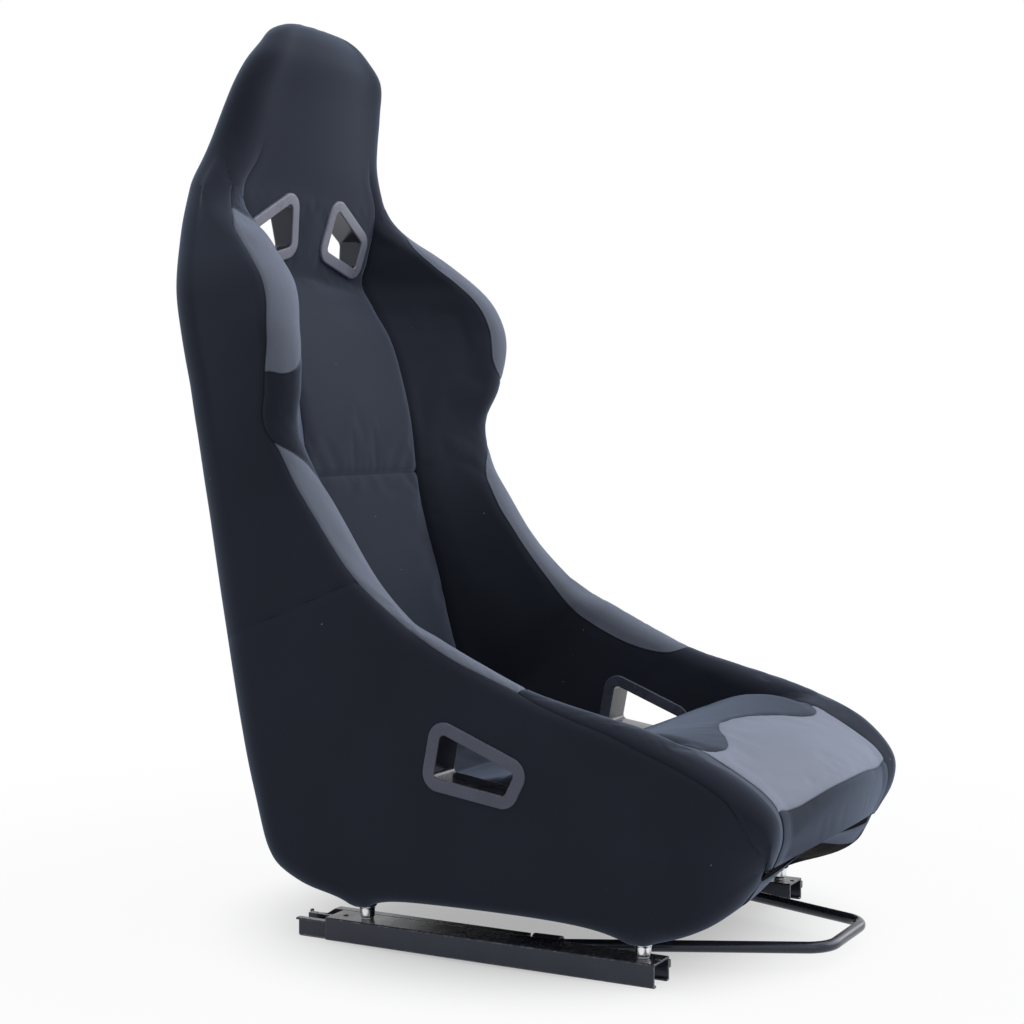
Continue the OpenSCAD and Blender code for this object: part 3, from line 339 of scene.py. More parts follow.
def outline_distance(points: Array, outline: Array) -> Array:
    """Signed distance of points from a closed outline in the plane, positive inside.

    Args:
        points: Points, with two coordinates in the last axis.
        outline: Corners of the outline in order.

    Returns:
        One distance for each point.
    """
    flat = points.reshape(-1, 2)
    best = np.full(len(flat), 1e9)
    inside = np.zeros(len(flat), dtype=bool)
    for a, b in zip(outline, np.roll(outline, -1, axis=0)):
        ab = b - a
        t = np.clip(((flat - a) @ ab) / max(float(ab @ ab), 1e-12), 0, 1)
        best = np.minimum(best, np.linalg.norm(flat - a - t[:, None] * ab, axis=1))
        crosses = (a[1] > flat[:, 1]) != (b[1] > flat[:, 1])
        if abs(b[1] - a[1]) > 1e-12:
            x = a[0] + (flat[:, 1] - a[1]) / (b[1] - a[1]) * ab[0]
            inside ^= crosses & (flat[:, 0] < x)
    return np.where(inside, best, -best).reshape(points.shape[:-1])


def smoothed(corners: Outline, steps: int = 6) -> Array:
    """Closed smooth outline through corners, as many short lines.

    Args:
        corners: Corners in order.
        steps: Number of lines between two corners.

    Returns:
        Points of the outline.
    """
    p = np.array(corners, dtype=float)
    before, after, beyond = np.roll(p, 1, 0), np.roll(p, -1, 0), np.roll(p, -2, 0)
    t = (np.arange(steps) / steps)[:, None, None]
    curve = 0.5 * (2 * p + (after - before) * t + (2 * before - 5 * p + 4 * after - beyond) * t**2
                   + (3 * p - before - 3 * after + beyond) * t**3)
    return curve.transpose(1, 0, 2).reshape(-1, 2)


def grid_faces(rows: int, cols: int, round_cols: bool = True, round_rows: bool = False) -> Faces:
    """Four-sided faces over a grid of points that are numbered row by row.

    Args:
        rows: Number of rows.
        cols: Number of columns.
        round_cols: Whether the last column joins the first.
        round_rows: Whether the last row joins the first.

    Returns:
        The faces as point numbers.
    """
    return [(r * cols + c, r * cols + (c + 1) % cols, (r + 1) % rows * cols + (c + 1) % cols,
             (r + 1) % rows * cols + c)
            for r in range(rows - (not round_rows)) for c in range(cols - (not round_cols))]


def mesh_object(name: str, points: Array, faces: Faces,
                marks: dict[str, Array] | None = None, sharp: float = 40.0) -> Piece:
    """Make a mesh object whose faces point outward.

    Args:
        name: Name of the piece.
        points: Its points in metres.
        faces: Its faces as point numbers.
        marks: Values kept on the points, one or three for each.
        sharp: Angle in degrees over which an edge stays sharp.

    Returns:
        The new object, in the scene.
    """
    mesh = bpy.data.meshes.new(name)
    mesh.from_pydata([tuple(p) for p in points], [], faces)
    for key, values in (marks or {}).items():
        kind = "FLOAT_VECTOR" if values.ndim == 2 else "FLOAT"
        layer = mesh.attributes.new(key, kind, "POINT")
        layer.data.foreach_set("vector" if values.ndim == 2 else "value",
                               np.ascontiguousarray(values, dtype=np.float32).ravel())
    work = bmesh.new()
    work.from_mesh(mesh)
    bmesh.ops.delete(work, geom=[v for v in work.verts if not v.link_faces], context="VERTS")
    bmesh.ops.recalc_face_normals(work, faces=work.faces)
    work.to_mesh(mesh)
    work.free()
    mesh.shade_smooth()
    mesh.set_sharp_from_angle(angle=math.radians(sharp))
    piece = bpy.data.objects.new(name, mesh)
    bpy.context.scene.collection.objects.link(piece)
    return piece


@dataclass
class Quilt:
    """Closed padded body: a grid of points outside, one inside, and rims that join them."""

    outer: Array
    inner: Array
    marks: dict[str, Array] = field(default_factory=dict)
    open_cells: Array | None = None

    def build(self, name: str, side: Side = Side.RIGHT) -> Piece:
        """Make the mesh object.

        Args:
            name: Name of the piece.
            side: Side of the seat; the grids are given for the right.

        Returns:
            The new object.
        """
        rows, cols = self.outer.shape[:2]
        keep = np.ones((rows - 1, cols - 1), dtype=bool)
        if self.open_cells is not None:
            keep &= ~self.open_cells
        framed = np.pad(keep, 1)
        shift = rows * cols
        faces: Faces = []
        for r, c in zip(*np.nonzero(keep)):
            a = int(r) * cols + int(c)
            q = (a, a + 1, a + cols + 1, a + cols)
            faces.append(q)
            faces.append(tuple(i + shift for i in reversed(q)))
            around = ((r, c + 1, 0, 1), (r + 1, c + 2, 1, 2), (r + 2, c + 1, 2, 3), (r + 1, c, 3, 0))
            for fr, fc, i, j in around:
                if not framed[fr, fc]:
                    faces.append((q[j], q[i], q[i] + shift, q[j] + shift))
        points = np.concatenate([self.outer.reshape(-1, 3), self.inner.reshape(-1, 3)])
        points = points * np.array([side.value, 1, 1])
        marks = {}
        for key, values in self.marks.items():
            flat = values.reshape(shift, -1) if values.ndim == 3 else values.reshape(shift)
            marks[key] = np.concatenate([flat, np.full_like(flat, -1.0) if key == "patch" else flat])
        return mesh_object(name, points, faces, marks)


@dataclass(frozen=True)
class AirPass:
    """Cloth pass that fills a cover between its sewn edges."""

    pressure: float = 1.2
    most: float = 0.003
    slack: float = 0.002
    frames: int = 20

    def lift(self, grid: Array, normals: Array, held: Array) -> Array:
        """How far each point of a cover moves when it is filled.

        Args:
            grid: Points of the cover.
            normals: Outward normals of the cover.
            held: True where the cover is sewn down.

        Returns:
            One move in metres for each point, no longer than the cap.
        """
        rows = np.unique(np.append(np.arange(0, grid.shape[0], 2), grid.shape[0] - 1))
        cols = np.unique(np.append(np.arange(0, grid.shape[1], 2), grid.shape[1] - 1))
        coarse = grid[np.ix_(rows, cols)]
        pins = held[np.ix_(rows, cols)].copy()
        pins[0], pins[-1], pins[:, 0], pins[:, -1] = True, True, True, True
        move = self.blown(coarse, normals[np.ix_(rows, cols)], pins) - coarse
        size = np.linalg.norm(move, axis=2, keepdims=True)
        LOG.info("  filled: moves of %.1f mm at most", float(size.max()) / MM)
        move *= np.tanh(size / self.most) * self.most / np.maximum(size, 1e-9)
        full = np.empty(grid.shape)
        steps = np.arange(grid.shape[0])
        for k in range(3):
            across = np.stack([np.interp(np.arange(grid.shape[1]), cols, row) for row in move[:, :, k]])
            full[:, :, k] = np.stack([np.interp(steps, rows, across[:, c])
                                      for c in range(grid.shape[1])], axis=1)
        return full

    def blown(self, coarse: Array, normals: Array, pins: Array) -> Array:
        """Points of a cover after the cloth pass.

        Args:
            coarse: Points of the cover.
            normals: Outward normals of the cover.
            pins: True where it is held still.

        Returns:
            The new points.
        """
        n_rows, n_cols = coarse.shape[:2]
        mesh = bpy.data.meshes.new("air_pass")
        faces = grid_faces(n_rows, n_cols, round_cols=False)
        turned_over = np.cross(np.gradient(coarse, axis=1), np.gradient(coarse, axis=0))
        if float((grid_normals(coarse, normals) * turned_over).sum()) < 0:
            faces = [tuple(reversed(f)) for f in faces]
        mesh.from_pydata([tuple(p) for p in coarse.reshape(-1, 3)], [], faces)
        cover = bpy.data.objects.new("air_pass", mesh)
        scene = bpy.context.scene
        scene.collection.objects.link(cover)
        group = cover.vertex_groups.new(name="sewn")
        group.add([int(i) for i in np.nonzero(pins.ravel())[0]], 1.0, "REPLACE")
        cloth = cover.modifiers.new("cloth", "CLOTH")
        cloth.point_cache.frame_start = 1
        cloth.point_cache.frame_end = self.frames
        rules = cloth.settings
        rules.quality = 5
        rules.mass = 0.3
        rules.tension_stiffness = 40
        rules.compression_stiffness = 40
        rules.shear_stiffness = 20
        rules.bending_stiffness = 1.5
        rules.air_damping = 6
        rules.vertex_group_mass = "sewn"
        rules.use_pressure = True
        rules.uniform_pressure_force = self.pressure
        rules.shrink_min = -self.slack
        rules.effector_weights.gravity = 0
        for number in range(1, self.frames + 1):
            scene.frame_set(number)
        done = cover.evaluated_get(bpy.context.evaluated_depsgraph_get())
        moved = np.empty(n_rows * n_cols * 3)
        done.data.vertices.foreach_get("co", moved)
        scene.frame_set(1)
        bpy.data.objects.remove(cover)
        bpy.data.meshes.remove(mesh)
        return moved.reshape(n_rows, n_cols, 3)


@dataclass(frozen=True)
class RoundBar:
    """Round bar or wire along a path."""

    diameter: float
    sides: int = 24

    def build(self, name: str, path: Array) -> Piece:
        """Sweep the bar.

        Args:
            name: Name of the piece.
            path: Points of the middle line in metres.

        Returns:
            The new object.
        """
        tangent = np.gradient(path, axis=0)
        tangent /= np.linalg.norm(tangent, axis=1, keepdims=True)
        aside = np.array([0.31, 0.2, 0.93])
        rings = []
        for p, t in zip(path, tangent):
            aside = aside - (aside @ t) * t
            aside /= np.linalg.norm(aside)
            over = np.cross(t, aside)
            angle = np.linspace(0, 2 * math.pi, self.sides, endpoint=False)[:, None]
            rings.append(p + self.diameter / 2 * (np.cos(angle) * aside + np.sin(angle) * over))
        count, n = len(rings), self.sides
        ends = [tuple(range(n)), tuple(range((count - 1) * n, count * n))]
        return mesh_object(name, np.concatenate(rings), grid_faces(count, n) + ends)


def turned(profile: Outline, centres: list[Place],
           sides: int = 40) -> tuple[Array, Faces]:
    """Bodies turned on upright axes.

    Args:
        profile: Closed profile as radius and height in mm.
        centres: Places of the axes in mm.
        sides: Number of faces round an axis.

    Returns:
        Points in metres and faces.
    """
    points, faces = [], []
    ring = grid_faces(sides, len(profile), round_rows=True)
    for cx, cy, cz in centres:
        first = len(points)
        for k in range(sides):
            a = 2 * math.pi * k / sides
            points.extend((cx + r * math.cos(a), cy + r * math.sin(a), cz + z) for r, z in profile)
        faces.extend(tuple(first + i for i in face) for face in ring)
    return np.array(points) * MM, faces


# ---- Shader groups ------------------------------------------------------------------------


class Graph:
    """Short ways to add and join the nodes of one tree."""

    def __init__(self, tree: bpy.types.NodeTree) -> None:
        """Keep the tree that nodes go into."""
        self.tree = tree

    def add(self, kind: str, **values: object) -> Node:
        """Add a node and set its properties."""
        node = self.tree.nodes.new(kind)
        for key, value in values.items():
            setattr(node, key, value)
        return node

    def feed(self, socket: Socket, value: object) -> None:
        """Set a socket to a number or colour, or join another socket to it."""
        if isinstance(value, Socket):
            self.tree.links.new(value, socket)
        else:
            socket.default_value = value

    def math(self, operation: str, a: object, b: object = 0.0, clamp: bool = False) -> Socket:
        """Result of a math node."""
        node = self.add("ShaderNodeMath", operation=operation, use_clamp=clamp)
        for socket, value in zip(node.inputs, (a, b)):
            self.feed(socket, value)
        return node.outputs[0]

    def blend(self, share: object, a: object, b: object) -> Socket:
        """Colour between two colours."""
        node = self.add("ShaderNodeMix", data_type="RGBA")
        self.feed(node.inputs["Factor"], share)
        self.feed(node.inputs[6], a)
        self.feed(node.inputs[7], b)
        return node.outputs[2]

    def scaled(self, colour: object, factor: object) -> Socket:
        """Colour times a number."""
        node = self.add("ShaderNodeVectorMath", operation="SCALE")
        self.feed(node.inputs[0], colour[:3] if isinstance(colour, tuple) else colour)
        self.feed(node.inputs["Scale"], factor)
        return node.outputs[0]

    def range(self, value: object, low: float, high: float, to_low: float,
              to_high: float) -> Socket:
        """Value carried from one range to another, smoothly and kept inside it."""
        node = self.add("ShaderNodeMapRange", interpolation_type="SMOOTHSTEP")
        for socket, number in zip(node.inputs, (value, low, high, to_low, to_high)):
            self.feed(socket, number)
        return node.outputs[0]

    def noise(self, vector: object, scale: object, detail: float = 2.0,
              rough: float = 0.5) -> Socket:
        """Cloudy pattern from 0 to 1."""
        node = self.add("ShaderNodeTexNoise")
        self.feed(node.inputs["Vector"], vector)
        self.feed(node.inputs["Scale"], scale)
        self.feed(node.inputs["Detail"], detail)
        self.feed(node.inputs["Roughness"], rough)
        return node.outputs[0]

    def swirled(self, vector: object, scale: float, reach: object) -> Socket:
        """Place pushed about by a cloudy pattern."""
        cloud = self.add("ShaderNodeTexNoise")
        self.feed(cloud.inputs["Vector"], vector)
        self.feed(cloud.inputs["Scale"], scale)
        moved = self.add("ShaderNodeVectorMath", operation="ADD")
        self.feed(moved.inputs[0], vector)
        self.feed(moved.inputs[1], self.scaled(cloud.outputs["Color"], reach))
        return moved.outputs[0]

    def mark(self, name: str, output: str = "Fac") -> Socket:
        """Value that a piece keeps on its points."""
        return self.add("ShaderNodeAttribute", attribute_name=name).outputs[output]

    def between(self, share: object, a: Node, b: Node) -> Socket:
        """Shader between two shaders."""
        node = self.add("ShaderNodeMixShader")
        for socket, value in zip(node.inputs, (share, a.outputs[0], b.outputs[0])):
            self.feed(socket, value)
        return node.outputs[0]

    def place(self) -> Socket:
        """Place on the object, in metres."""
        return self.add("ShaderNodeTexCoord").outputs["Object"]

    def use(self, group: bpy.types.NodeTree, **values: object) -> Node:
        """Place a group with its own values."""
        node = self.add("ShaderNodeGroup", node_tree=group)
        for key, value in values.items():
            self.feed(node.inputs[key.replace("_", " ")], value)
        return node


@dataclass(frozen=True)
class Effect:
    """A shader group that several finishes share."""

    name: str
    inputs: tuple[tuple[str, float], ...]
    outputs: tuple[str, ...]
    fill: Callable[[Graph, Sockets, Sockets], None]

    def tree(self) -> bpy.types.NodeTree:
        """The group, built once and then kept."""
        known = bpy.data.node_groups.get(self.name)
        if known:
            return known
        tree = bpy.data.node_groups.new(self.name, "ShaderNodeTree")
        tree.interface.new_socket("Vector", in_out="INPUT", socket_type="NodeSocketVector")
        for name, value in self.inputs:
            socket = tree.interface.new_socket(name, in_out="INPUT", socket_type="NodeSocketFloat")
            socket.default_value = value
        for name in self.outputs:
            tree.interface.new_socket(name, in_out="OUTPUT", socket_type="NodeSocketFloat")
        graph = Graph(tree)
        enter, leave = graph.add("NodeGroupInput"), graph.add("NodeGroupOutput")
        self.fill(graph, {s.name: s for s in enter.outputs}, {s.name: s for s in leave.inputs})
        return tree


def fill_weave(g: Graph, given: Sockets, out: Sockets) -> None:
    """Plain weave of round threads that pass over and under each other, with painted shade on the
    threads where they dip.
    """
    parts = g.add("ShaderNodeSeparateXYZ")
    g.feed(parts.inputs[0], g.swirled(given["Vector"], 130.0, given["Unevenness"]))
    u = g.math("DIVIDE", parts.outputs[0], given["Thread"])
    v = g.math("DIVIDE", parts.outputs[1], given["Thread"])
    warp = g.math("ABSOLUTE", g.math("SINE", g.math("MULTIPLY", u, math.pi)))
    weft = g.math("ABSOLUTE", g.math("SINE", g.math("MULTIPLY", v, math.pi)))
    cell = g.math("ABSOLUTE", g.math("ADD", g.math("FLOOR", u), g.math("FLOOR", v)))
    over = g.math("MODULO", cell, 2.0)
    lifted = g.math("ADD", g.math("MULTIPLY", warp, over),
                    g.math("MULTIPLY", weft, g.math("SUBTRACT", 1.0, over)))
    g.feed(out["Height"], lifted)
    # painted shade: the tone darkens where the threads curve down between crossings
    g.feed(out["Tone"], g.range(lifted, 0.0, 1.0, 0.82, 1.06))


def fill_pile(g: Graph, given: Sockets, out: Sockets) -> None:
    """Short pile: fine fibres, with broad soft areas where they lie another way."""
    fine = g.noise(given["Vector"], given["Fibre"], 3.0, 0.7)
    broad = g.noise(given["Vector"], given["Nap"], 2.0, 0.55)
    g.feed(out["Height"], fine)
    tone = g.math("ADD", g.math("MULTIPLY", g.math("SUBTRACT", broad, 0.5), given["Unevenness"]),
                  g.math("MULTIPLY", g.math("SUBTRACT", fine, 0.5), 0.35))
    g.feed(out["Tone"], g.math("ADD", 1.0, tone))


def fill_lint(g: Graph, given: Sockets, out: Sockets) -> None:
    """Few pale specks of lint and dust."""
    cells = g.add("ShaderNodeTexVoronoi")
    g.feed(cells.inputs["Vector"], given["Vector"])
    g.feed(cells.inputs["Scale"], given["Spread"])
    rare = g.math("GREATER_THAN", g.noise(cells.outputs["Position"], 37.0, 0.0), 0.66)
    near = g.math("LESS_THAN", cells.outputs["Distance"], given["Speck"])
    g.feed(out["Mask"], g.math("MULTIPLY", rare, near))


def fill_wear(g: Graph, given: Sockets, out: Sockets) -> None:
    """Edges rubbed bare, broken up by a fine pattern."""
    bevel = g.add("ShaderNodeBevel", samples=4)
    g.feed(bevel.inputs["Radius"], given["Reach"])
    flat = g.add("ShaderNodeNewGeometry")
    along = g.add("ShaderNodeVectorMath", operation="DOT_PRODUCT")
    g.feed(along.inputs[0], bevel.outputs[0])
    g.feed(along.inputs[1], flat.outputs["Normal"])
    edge = g.range(along.outputs["Value"], 0.90, 0.995, 1.0, 0.0)
    broken = g.range(g.noise(given["Vector"], 220.0, 4.0, 0.65), 0.46, 0.62, 0.0, 1.0)
    rubbed = g.math("MULTIPLY", edge, broken)
    g.feed(out["Mask"], g.math("MULTIPLY", rubbed, given["Amount"], clamp=True))


def fill_grain(g: Graph, given: Sockets, out: Sockets) -> None:
    """Fine pebbled grain of a moulded or coated surface."""
    cells = g.add("ShaderNodeTexVoronoi", feature="SMOOTH_F1")
    g.feed(cells.inputs["Vector"], given["Vector"])
    g.feed(cells.inputs["Scale"], given["Grain"])
    g.feed(out["Height"], cells.outputs["Distance"])
    g.feed(out["Patchy"], g.noise(given["Vector"], given["Cloud"], 3.0, 0.6))


WEAVE = Effect("weave", (("Thread", 0.0009), ("Unevenness", 0.0004)), ("Height", "Tone"), fill_weave)
PILE = Effect("pile", (("Fibre", 900.0), ("Nap", 14.0), ("Unevenness", 0.3)), ("Height", "Tone"),
              fill_pile)
LINT = Effect("lint", (("Spread", 60.0), ("Speck", 0.02)), ("Mask",), fill_lint)
WEAR = Effect("edge wear", (("Reach", 0.0012), ("Amount", 0.5)), ("Mask",), fill_wear)
GRAIN = Effect("grain", (("Grain", 1400.0), ("Cloud", 25.0)), ("Height", "Patchy"), fill_grain)


# ---- Finishes -----------------------------------------------------------------------------


def finish_tree(name: str) -> tuple[Material, Graph, Node]:
    """A new material with its graph and its shader."""
    material = bpy.data.materials.new(name)
    material.use_nodes = True
    graph = Graph(material.node_tree)
    return material, graph, material.node_tree.nodes["Principled BSDF"]


def bump(g: Graph, shader: Node, height: object, strength: float, depth: float,
         edge: float = 0.0) -> None:
    """Join a height to the shader's normal, over edges that are rounded by a radius in metres."""
    node = g.add("ShaderNodeBump")
    if edge:
        rounded = g.add("ShaderNodeBevel", samples=4)
        rounded.inputs["Radius"].default_value = edge
        g.feed(node.inputs["Normal"], rounded.outputs[0])
    node.inputs["Strength"].default_value = strength
    node.inputs["Distance"].default_value = depth
    g.feed(node.inputs["Height"], height)
    g.feed(shader.inputs["Normal"], node.outputs[0])


COOL = (0.80, 0.85, 1.0, 1.0)


@dataclass(frozen=True)
class Finish:
    """A finish, known by its name; each kind joins its own nodes."""

    name: str

    def build(self) -> Material:
        """Make the material."""
        material, g, shader = finish_tree(self.name)
        self.fill(g, shader, g.place())
        return material

    def fill(self, g: Graph, shader: Node, where: Socket) -> None:
        """Join the nodes of the material."""
        raise NotImplementedError


@dataclass(frozen=True)
class Upholstery(Finish):
    """Black short-pile textile, with flat-woven grey textile where a patch is marked, and painted shade
    along its seams and patch edges.
    """

    pile: Colour = (0.0136, 0.0162, 0.0258, 1.0)
    # painted light: this default grey is the patch cloth painted lighter for the light on the cushion;
    # the wings' patches pass the cloth's own grey
    patch: Colour = (0.205, 0.222, 0.280, 1.0)
    lint: Colour = (0.30, 0.31, 0.33, 1.0)
    sheen: float = 0.36
    patched: bool = False
    seam_reach: float = 0.0018
    pile_rough: float = 0.88
    cloth_rough: float = 0.72

    def fill(self, g: Graph, shader: Node, where: Socket) -> None:
        """Join the nodes of the material."""
        cloth, seam = g.mark("cloth", "Vector"), g.mark("seam")
        pile = g.use(PILE.tree(), Vector=where, Fibre=1100.0, Nap=11.0, Unevenness=0.42)
        lint = g.use(LINT.tree(), Vector=where, Spread=55.0, Speck=0.03)
        colour = g.scaled(self.pile, pile.outputs["Tone"])
        height: object = g.math("MULTIPLY", pile.outputs["Height"], 0.5)
        rough: object = self.pile_rough
        if self.patched:
            edge = g.mark("patch")
            share = g.range(edge, -0.0002, 0.0002, 0.0, 1.0)
            weave = g.use(WEAVE.tree(), Vector=cloth, Thread=0.0011, Unevenness=0.0005)
            soft = g.noise(where, 9.0, 2.0)
            tone = g.math("MULTIPLY", weave.outputs["Tone"], g.range(soft, 0.3, 0.7, 0.93, 1.05))
            colour = g.blend(share, colour, g.scaled(self.patch, tone))
            rough = g.range(share, 0.0, 1.0, self.pile_rough, self.cloth_rough)
            away = g.math("ABSOLUTE", edge)
            groove = g.range(away, 0.0, 0.0022, -2.4, 0.0)
            # painted shade: the colour darkens along the patch's sewn edge, as shade lying in its groove
            colour = g.scaled(colour, g.range(away, 0.0003, 0.0016, 0.45, 1.0))
            threads = g.math("MULTIPLY", share, weave.outputs["Height"])
            height = g.math("ADD", height, g.math("ADD", threads, groove))
        height = g.math("ADD", height, g.range(seam, 0.0, self.seam_reach, -1.8, 0.0))
        # painted shade: the colour darkens towards a seam, as shade lying in the sewn groove
        colour = g.scaled(colour, g.range(seam, 0.0002, self.seam_reach, 0.6, 1.0))
        colour = g.blend(lint.outputs["Mask"], colour, self.lint)
        g.feed(shader.inputs["Base Color"], colour)
        g.feed(shader.inputs["Roughness"], rough)
        shader.inputs["Specular IOR Level"].default_value = 0.16
        shader.inputs["Sheen Weight"].default_value = self.sheen
        shader.inputs["Sheen Roughness"].default_value = 0.42
        shader.inputs["Sheen Tint"].default_value = (0.58, 0.72, 1.0, 1.0)
        bump(g, shader, height, 0.55, 0.0004)


@dataclass(frozen=True)
class MouldedPlastic(Finish):
    """Satin plastic with the fine grain of its mould, glossier and darkened by painted shade in a
    frame's opening.
    """

    colour: Colour = (0.064, 0.069, 0.094, 1.0)
    # colour of the painted shade in a frame's opening
    throat_shade: Colour = (0.010, 0.010, 0.013, 1.0)
    gloss: float = 0.28
    wear: float = 0.25

    def fill(self, g: Graph, shader: Node, where: Socket) -> None:
        """Join the nodes of the material."""
        grain = g.use(GRAIN.tree(), Vector=where, Grain=1500.0, Cloud=30.0)
        wear = g.use(WEAR.tree(), Vector=where, Reach=0.0010, Amount=self.wear)
        lint = g.use(LINT.tree(), Vector=where, Spread=90.0, Speck=0.02)
        base = g.scaled(self.colour, g.range(grain.outputs["Patchy"], 0.3, 0.7, 0.88, 1.12))
        pale = tuple(min(1.0, 3.2 * c + 0.02) for c in self.colour[:3]) + (1.0,)
        colour = g.blend(wear.outputs["Mask"], base, pale)
        colour = g.blend(lint.outputs["Mask"], colour, (0.2, 0.2, 0.2, 1.0))
        # painted shade: the rings of the frame's opening take the dark shade colour
        inside = g.mark("throat_shade")
        g.feed(shader.inputs["Base Color"], g.blend(inside, colour, self.throat_shade))
        satin = g.range(grain.outputs["Patchy"], 0.25, 0.75, self.gloss - 0.05, self.gloss + 0.09)
        g.feed(shader.inputs["Roughness"], g.math("SUBTRACT", satin, g.math("MULTIPLY", inside, 0.14)))
        shader.inputs["Specular Tint"].default_value = COOL
        bump(g, shader, grain.outputs["Height"], 0.35, 0.0001)


@dataclass(frozen=True)
class PlatedMetal(Finish):
    """Bright metal: chrome, zinc or drawn steel, with the marks of its handling."""

    colour: Colour = (0.83, 0.84, 0.86, 1.0)
    gloss: float = 0.10
    mottle: float = 0.08
    cloud: float = 60.0

    def fill(self, g: Graph, shader: Node, where: Socket) -> None:
        """Join the nodes of the material."""
        grain = g.use(GRAIN.tree(), Vector=where, Grain=700.0, Cloud=self.cloud)
        tone = g.range(grain.outputs["Patchy"], 0.25, 0.75, 1 - self.mottle * 2, 1.0)
        g.feed(shader.inputs["Base Color"], g.scaled(self.colour, tone))
        g.feed(shader.inputs["Roughness"],
               g.range(grain.outputs["Patchy"], 0.25, 0.75, self.gloss, self.gloss + self.mottle * 1.6))
        shader.inputs["Metallic"].default_value = 1.0
        bump(g, shader, grain.outputs["Patchy"], 0.08, 0.0002)


@dataclass(frozen=True)
class CoatedSteel(Finish):
    """Black coated steel, rubbed through at its edges."""

    coat: Colour = (0.020, 0.022, 0.032, 1.0)
    steel: Colour = (0.42, 0.42, 0.43, 1.0)
    gloss: float = 0.25
    wear: float = 0.6

    def fill(self, g: Graph, shader: Node, where: Socket) -> None:
        """Join the nodes of the material."""
        grain = g.use(GRAIN.tree(), Vector=where, Grain=420.0, Cloud=38.0)
        wear = g.use(WEAR.tree(), Vector=where, Reach=0.0013, Amount=self.wear)
        lint = g.use(LINT.tree(), Vector=where, Spread=110.0, Speck=0.022)
        base = g.scaled(self.coat, g.range(grain.outputs["Patchy"], 0.3, 0.7, 0.88, 1.14))
        colour = g.blend(wear.outputs["Mask"], base, self.steel)
        colour = g.blend(lint.outputs["Mask"], colour, (0.16, 0.16, 0.17, 1.0))
        g.feed(shader.inputs["Base Color"], colour)
        g.feed(shader.inputs["Metallic"], wear.outputs["Mask"])
        shader.inputs["Specular Tint"].default_value = COOL
        g.feed(shader.inputs["Roughness"],
               g.range(grain.outputs["Patchy"], 0.25, 0.75, self.gloss - 0.04, self.gloss + 0.06))
        bump(g, shader, grain.outputs["Height"], 0.12, 0.0002, 0.0012)


@dataclass(frozen=True)
class GlassFibre(Finish):
    """Moulded glass fibre under black gel coat, its chopped strands showing faintly."""

    gloss: float = 0.62
    resin: Colour = (0.005, 0.005, 0.006, 1.0)
    strand: Colour = (0.014, 0.014, 0.015, 1.0)

    def fill(self, g: Graph, shader: Node, where: Socket) -> None:
        """Join the nodes of the material."""
        strands = g.noise(g.swirled(where, 26.0, 0.05), 240.0, 3.0, 0.7)
        grain = g.use(GRAIN.tree(), Vector=where, Grain=300.0, Cloud=18.0)
        showing = g.range(strands, 0.5, 0.72, 0.0, 0.8)
        g.feed(shader.inputs["Base Color"], g.blend(showing, self.resin, self.strand))
        g.feed(shader.inputs["Roughness"],
               g.range(grain.outputs["Patchy"], 0.3, 0.7, self.gloss, self.gloss + 0.15))
        shader.inputs["Specular IOR Level"].default_value = 0.01
        bump(g, shader, strands, 0.3, 0.0004)


@dataclass(frozen=True)
class FinishRack:
    """All finishes of the seat, built once."""

    velour: Material
    patched: Material
    cushion: Material
    shoulder_bezel: Material
    bezel: Material
    chrome: Material
    zinc: Material
    steel: Material
    lever: Material
    spring: Material
    shell: Material
    glide: Material

    @staticmethod
    def build() -> "FinishRack":
        """Make every finish."""
        return FinishRack(
            velour=Upholstery("black velour").build(),
            patched=Upholstery("black velour and grey cloth", patch=(0.128, 0.142, 0.186, 1.0),
                               patched=True).build(),
            # painted light: the shoulder frames are the same plastic as the lap frames, painted lighter
            # for the light that falls on them from the front
            shoulder_bezel=MouldedPlastic("grey bezel plastic", (0.118, 0.124, 0.158, 1.0)).build(),
            # painted light: the cushion's grey cloth is the wings' patch cloth, painted lighter for the
            # light that falls on the cushion
            cushion=Upholstery("black velour and pale grey cloth", patched=True).build(),
            bezel=MouldedPlastic("satin black plastic").build(),
            chrome=PlatedMetal("bright chrome", (0.88, 0.89, 0.91, 1.0), 0.12, 0.05).build(),
            zinc=PlatedMetal("zinc plating", (0.55, 0.56, 0.57, 1.0), 0.26, 0.12, 90.0).build(),
            steel=CoatedSteel("black coated steel").build(),
            lever=CoatedSteel("phosphated steel", (0.045, 0.046, 0.048, 1.0), gloss=0.42,
                              wear=0.8).build(),
            spring=PlatedMetal("spring wire", (0.44, 0.45, 0.46, 1.0), 0.22, 0.10, 140.0).build(),
            shell=GlassFibre("black gel coat").build(),
            glide=MouldedPlastic("white sliding plastic", (0.62, 0.61, 0.57, 1.0), gloss=0.38,
                                 wear=0.0).build(),
        )


def dress(piece: Piece, finish: Material) -> None:
    """Give a piece its one finish."""
    piece.data.materials.clear()
    piece.data.materials.append(finish)


# ---- Pads and covers ----------------------------------------------------------------------


GIRTH_STEP = 3.5
NECK, CHEST_SEAM, BIGHT, NOSE = 242.0, -52.0, -310.0, -880.0
NECK_FADE = 45.0
PATCH_HELD = 2.0
FAR_OFF = 1e3
SEAM_FADE = 0.004
RAIL_TOP = 24.2


def stations(high: float, low: float, step: float = GIRTH_STEP) -> list[Section]:
    """Sections from one girth down to another, evenly spaced."""
    return [FORM.section(g) for g in np.linspace(high, low, round((high - low) / step) + 1)]


def ups(cuts: list[Section]) -> Array:
    """Direction towards the wing top at each section, one row each."""
    return np.array([[[0.0, *cut.up]] for cut in cuts])


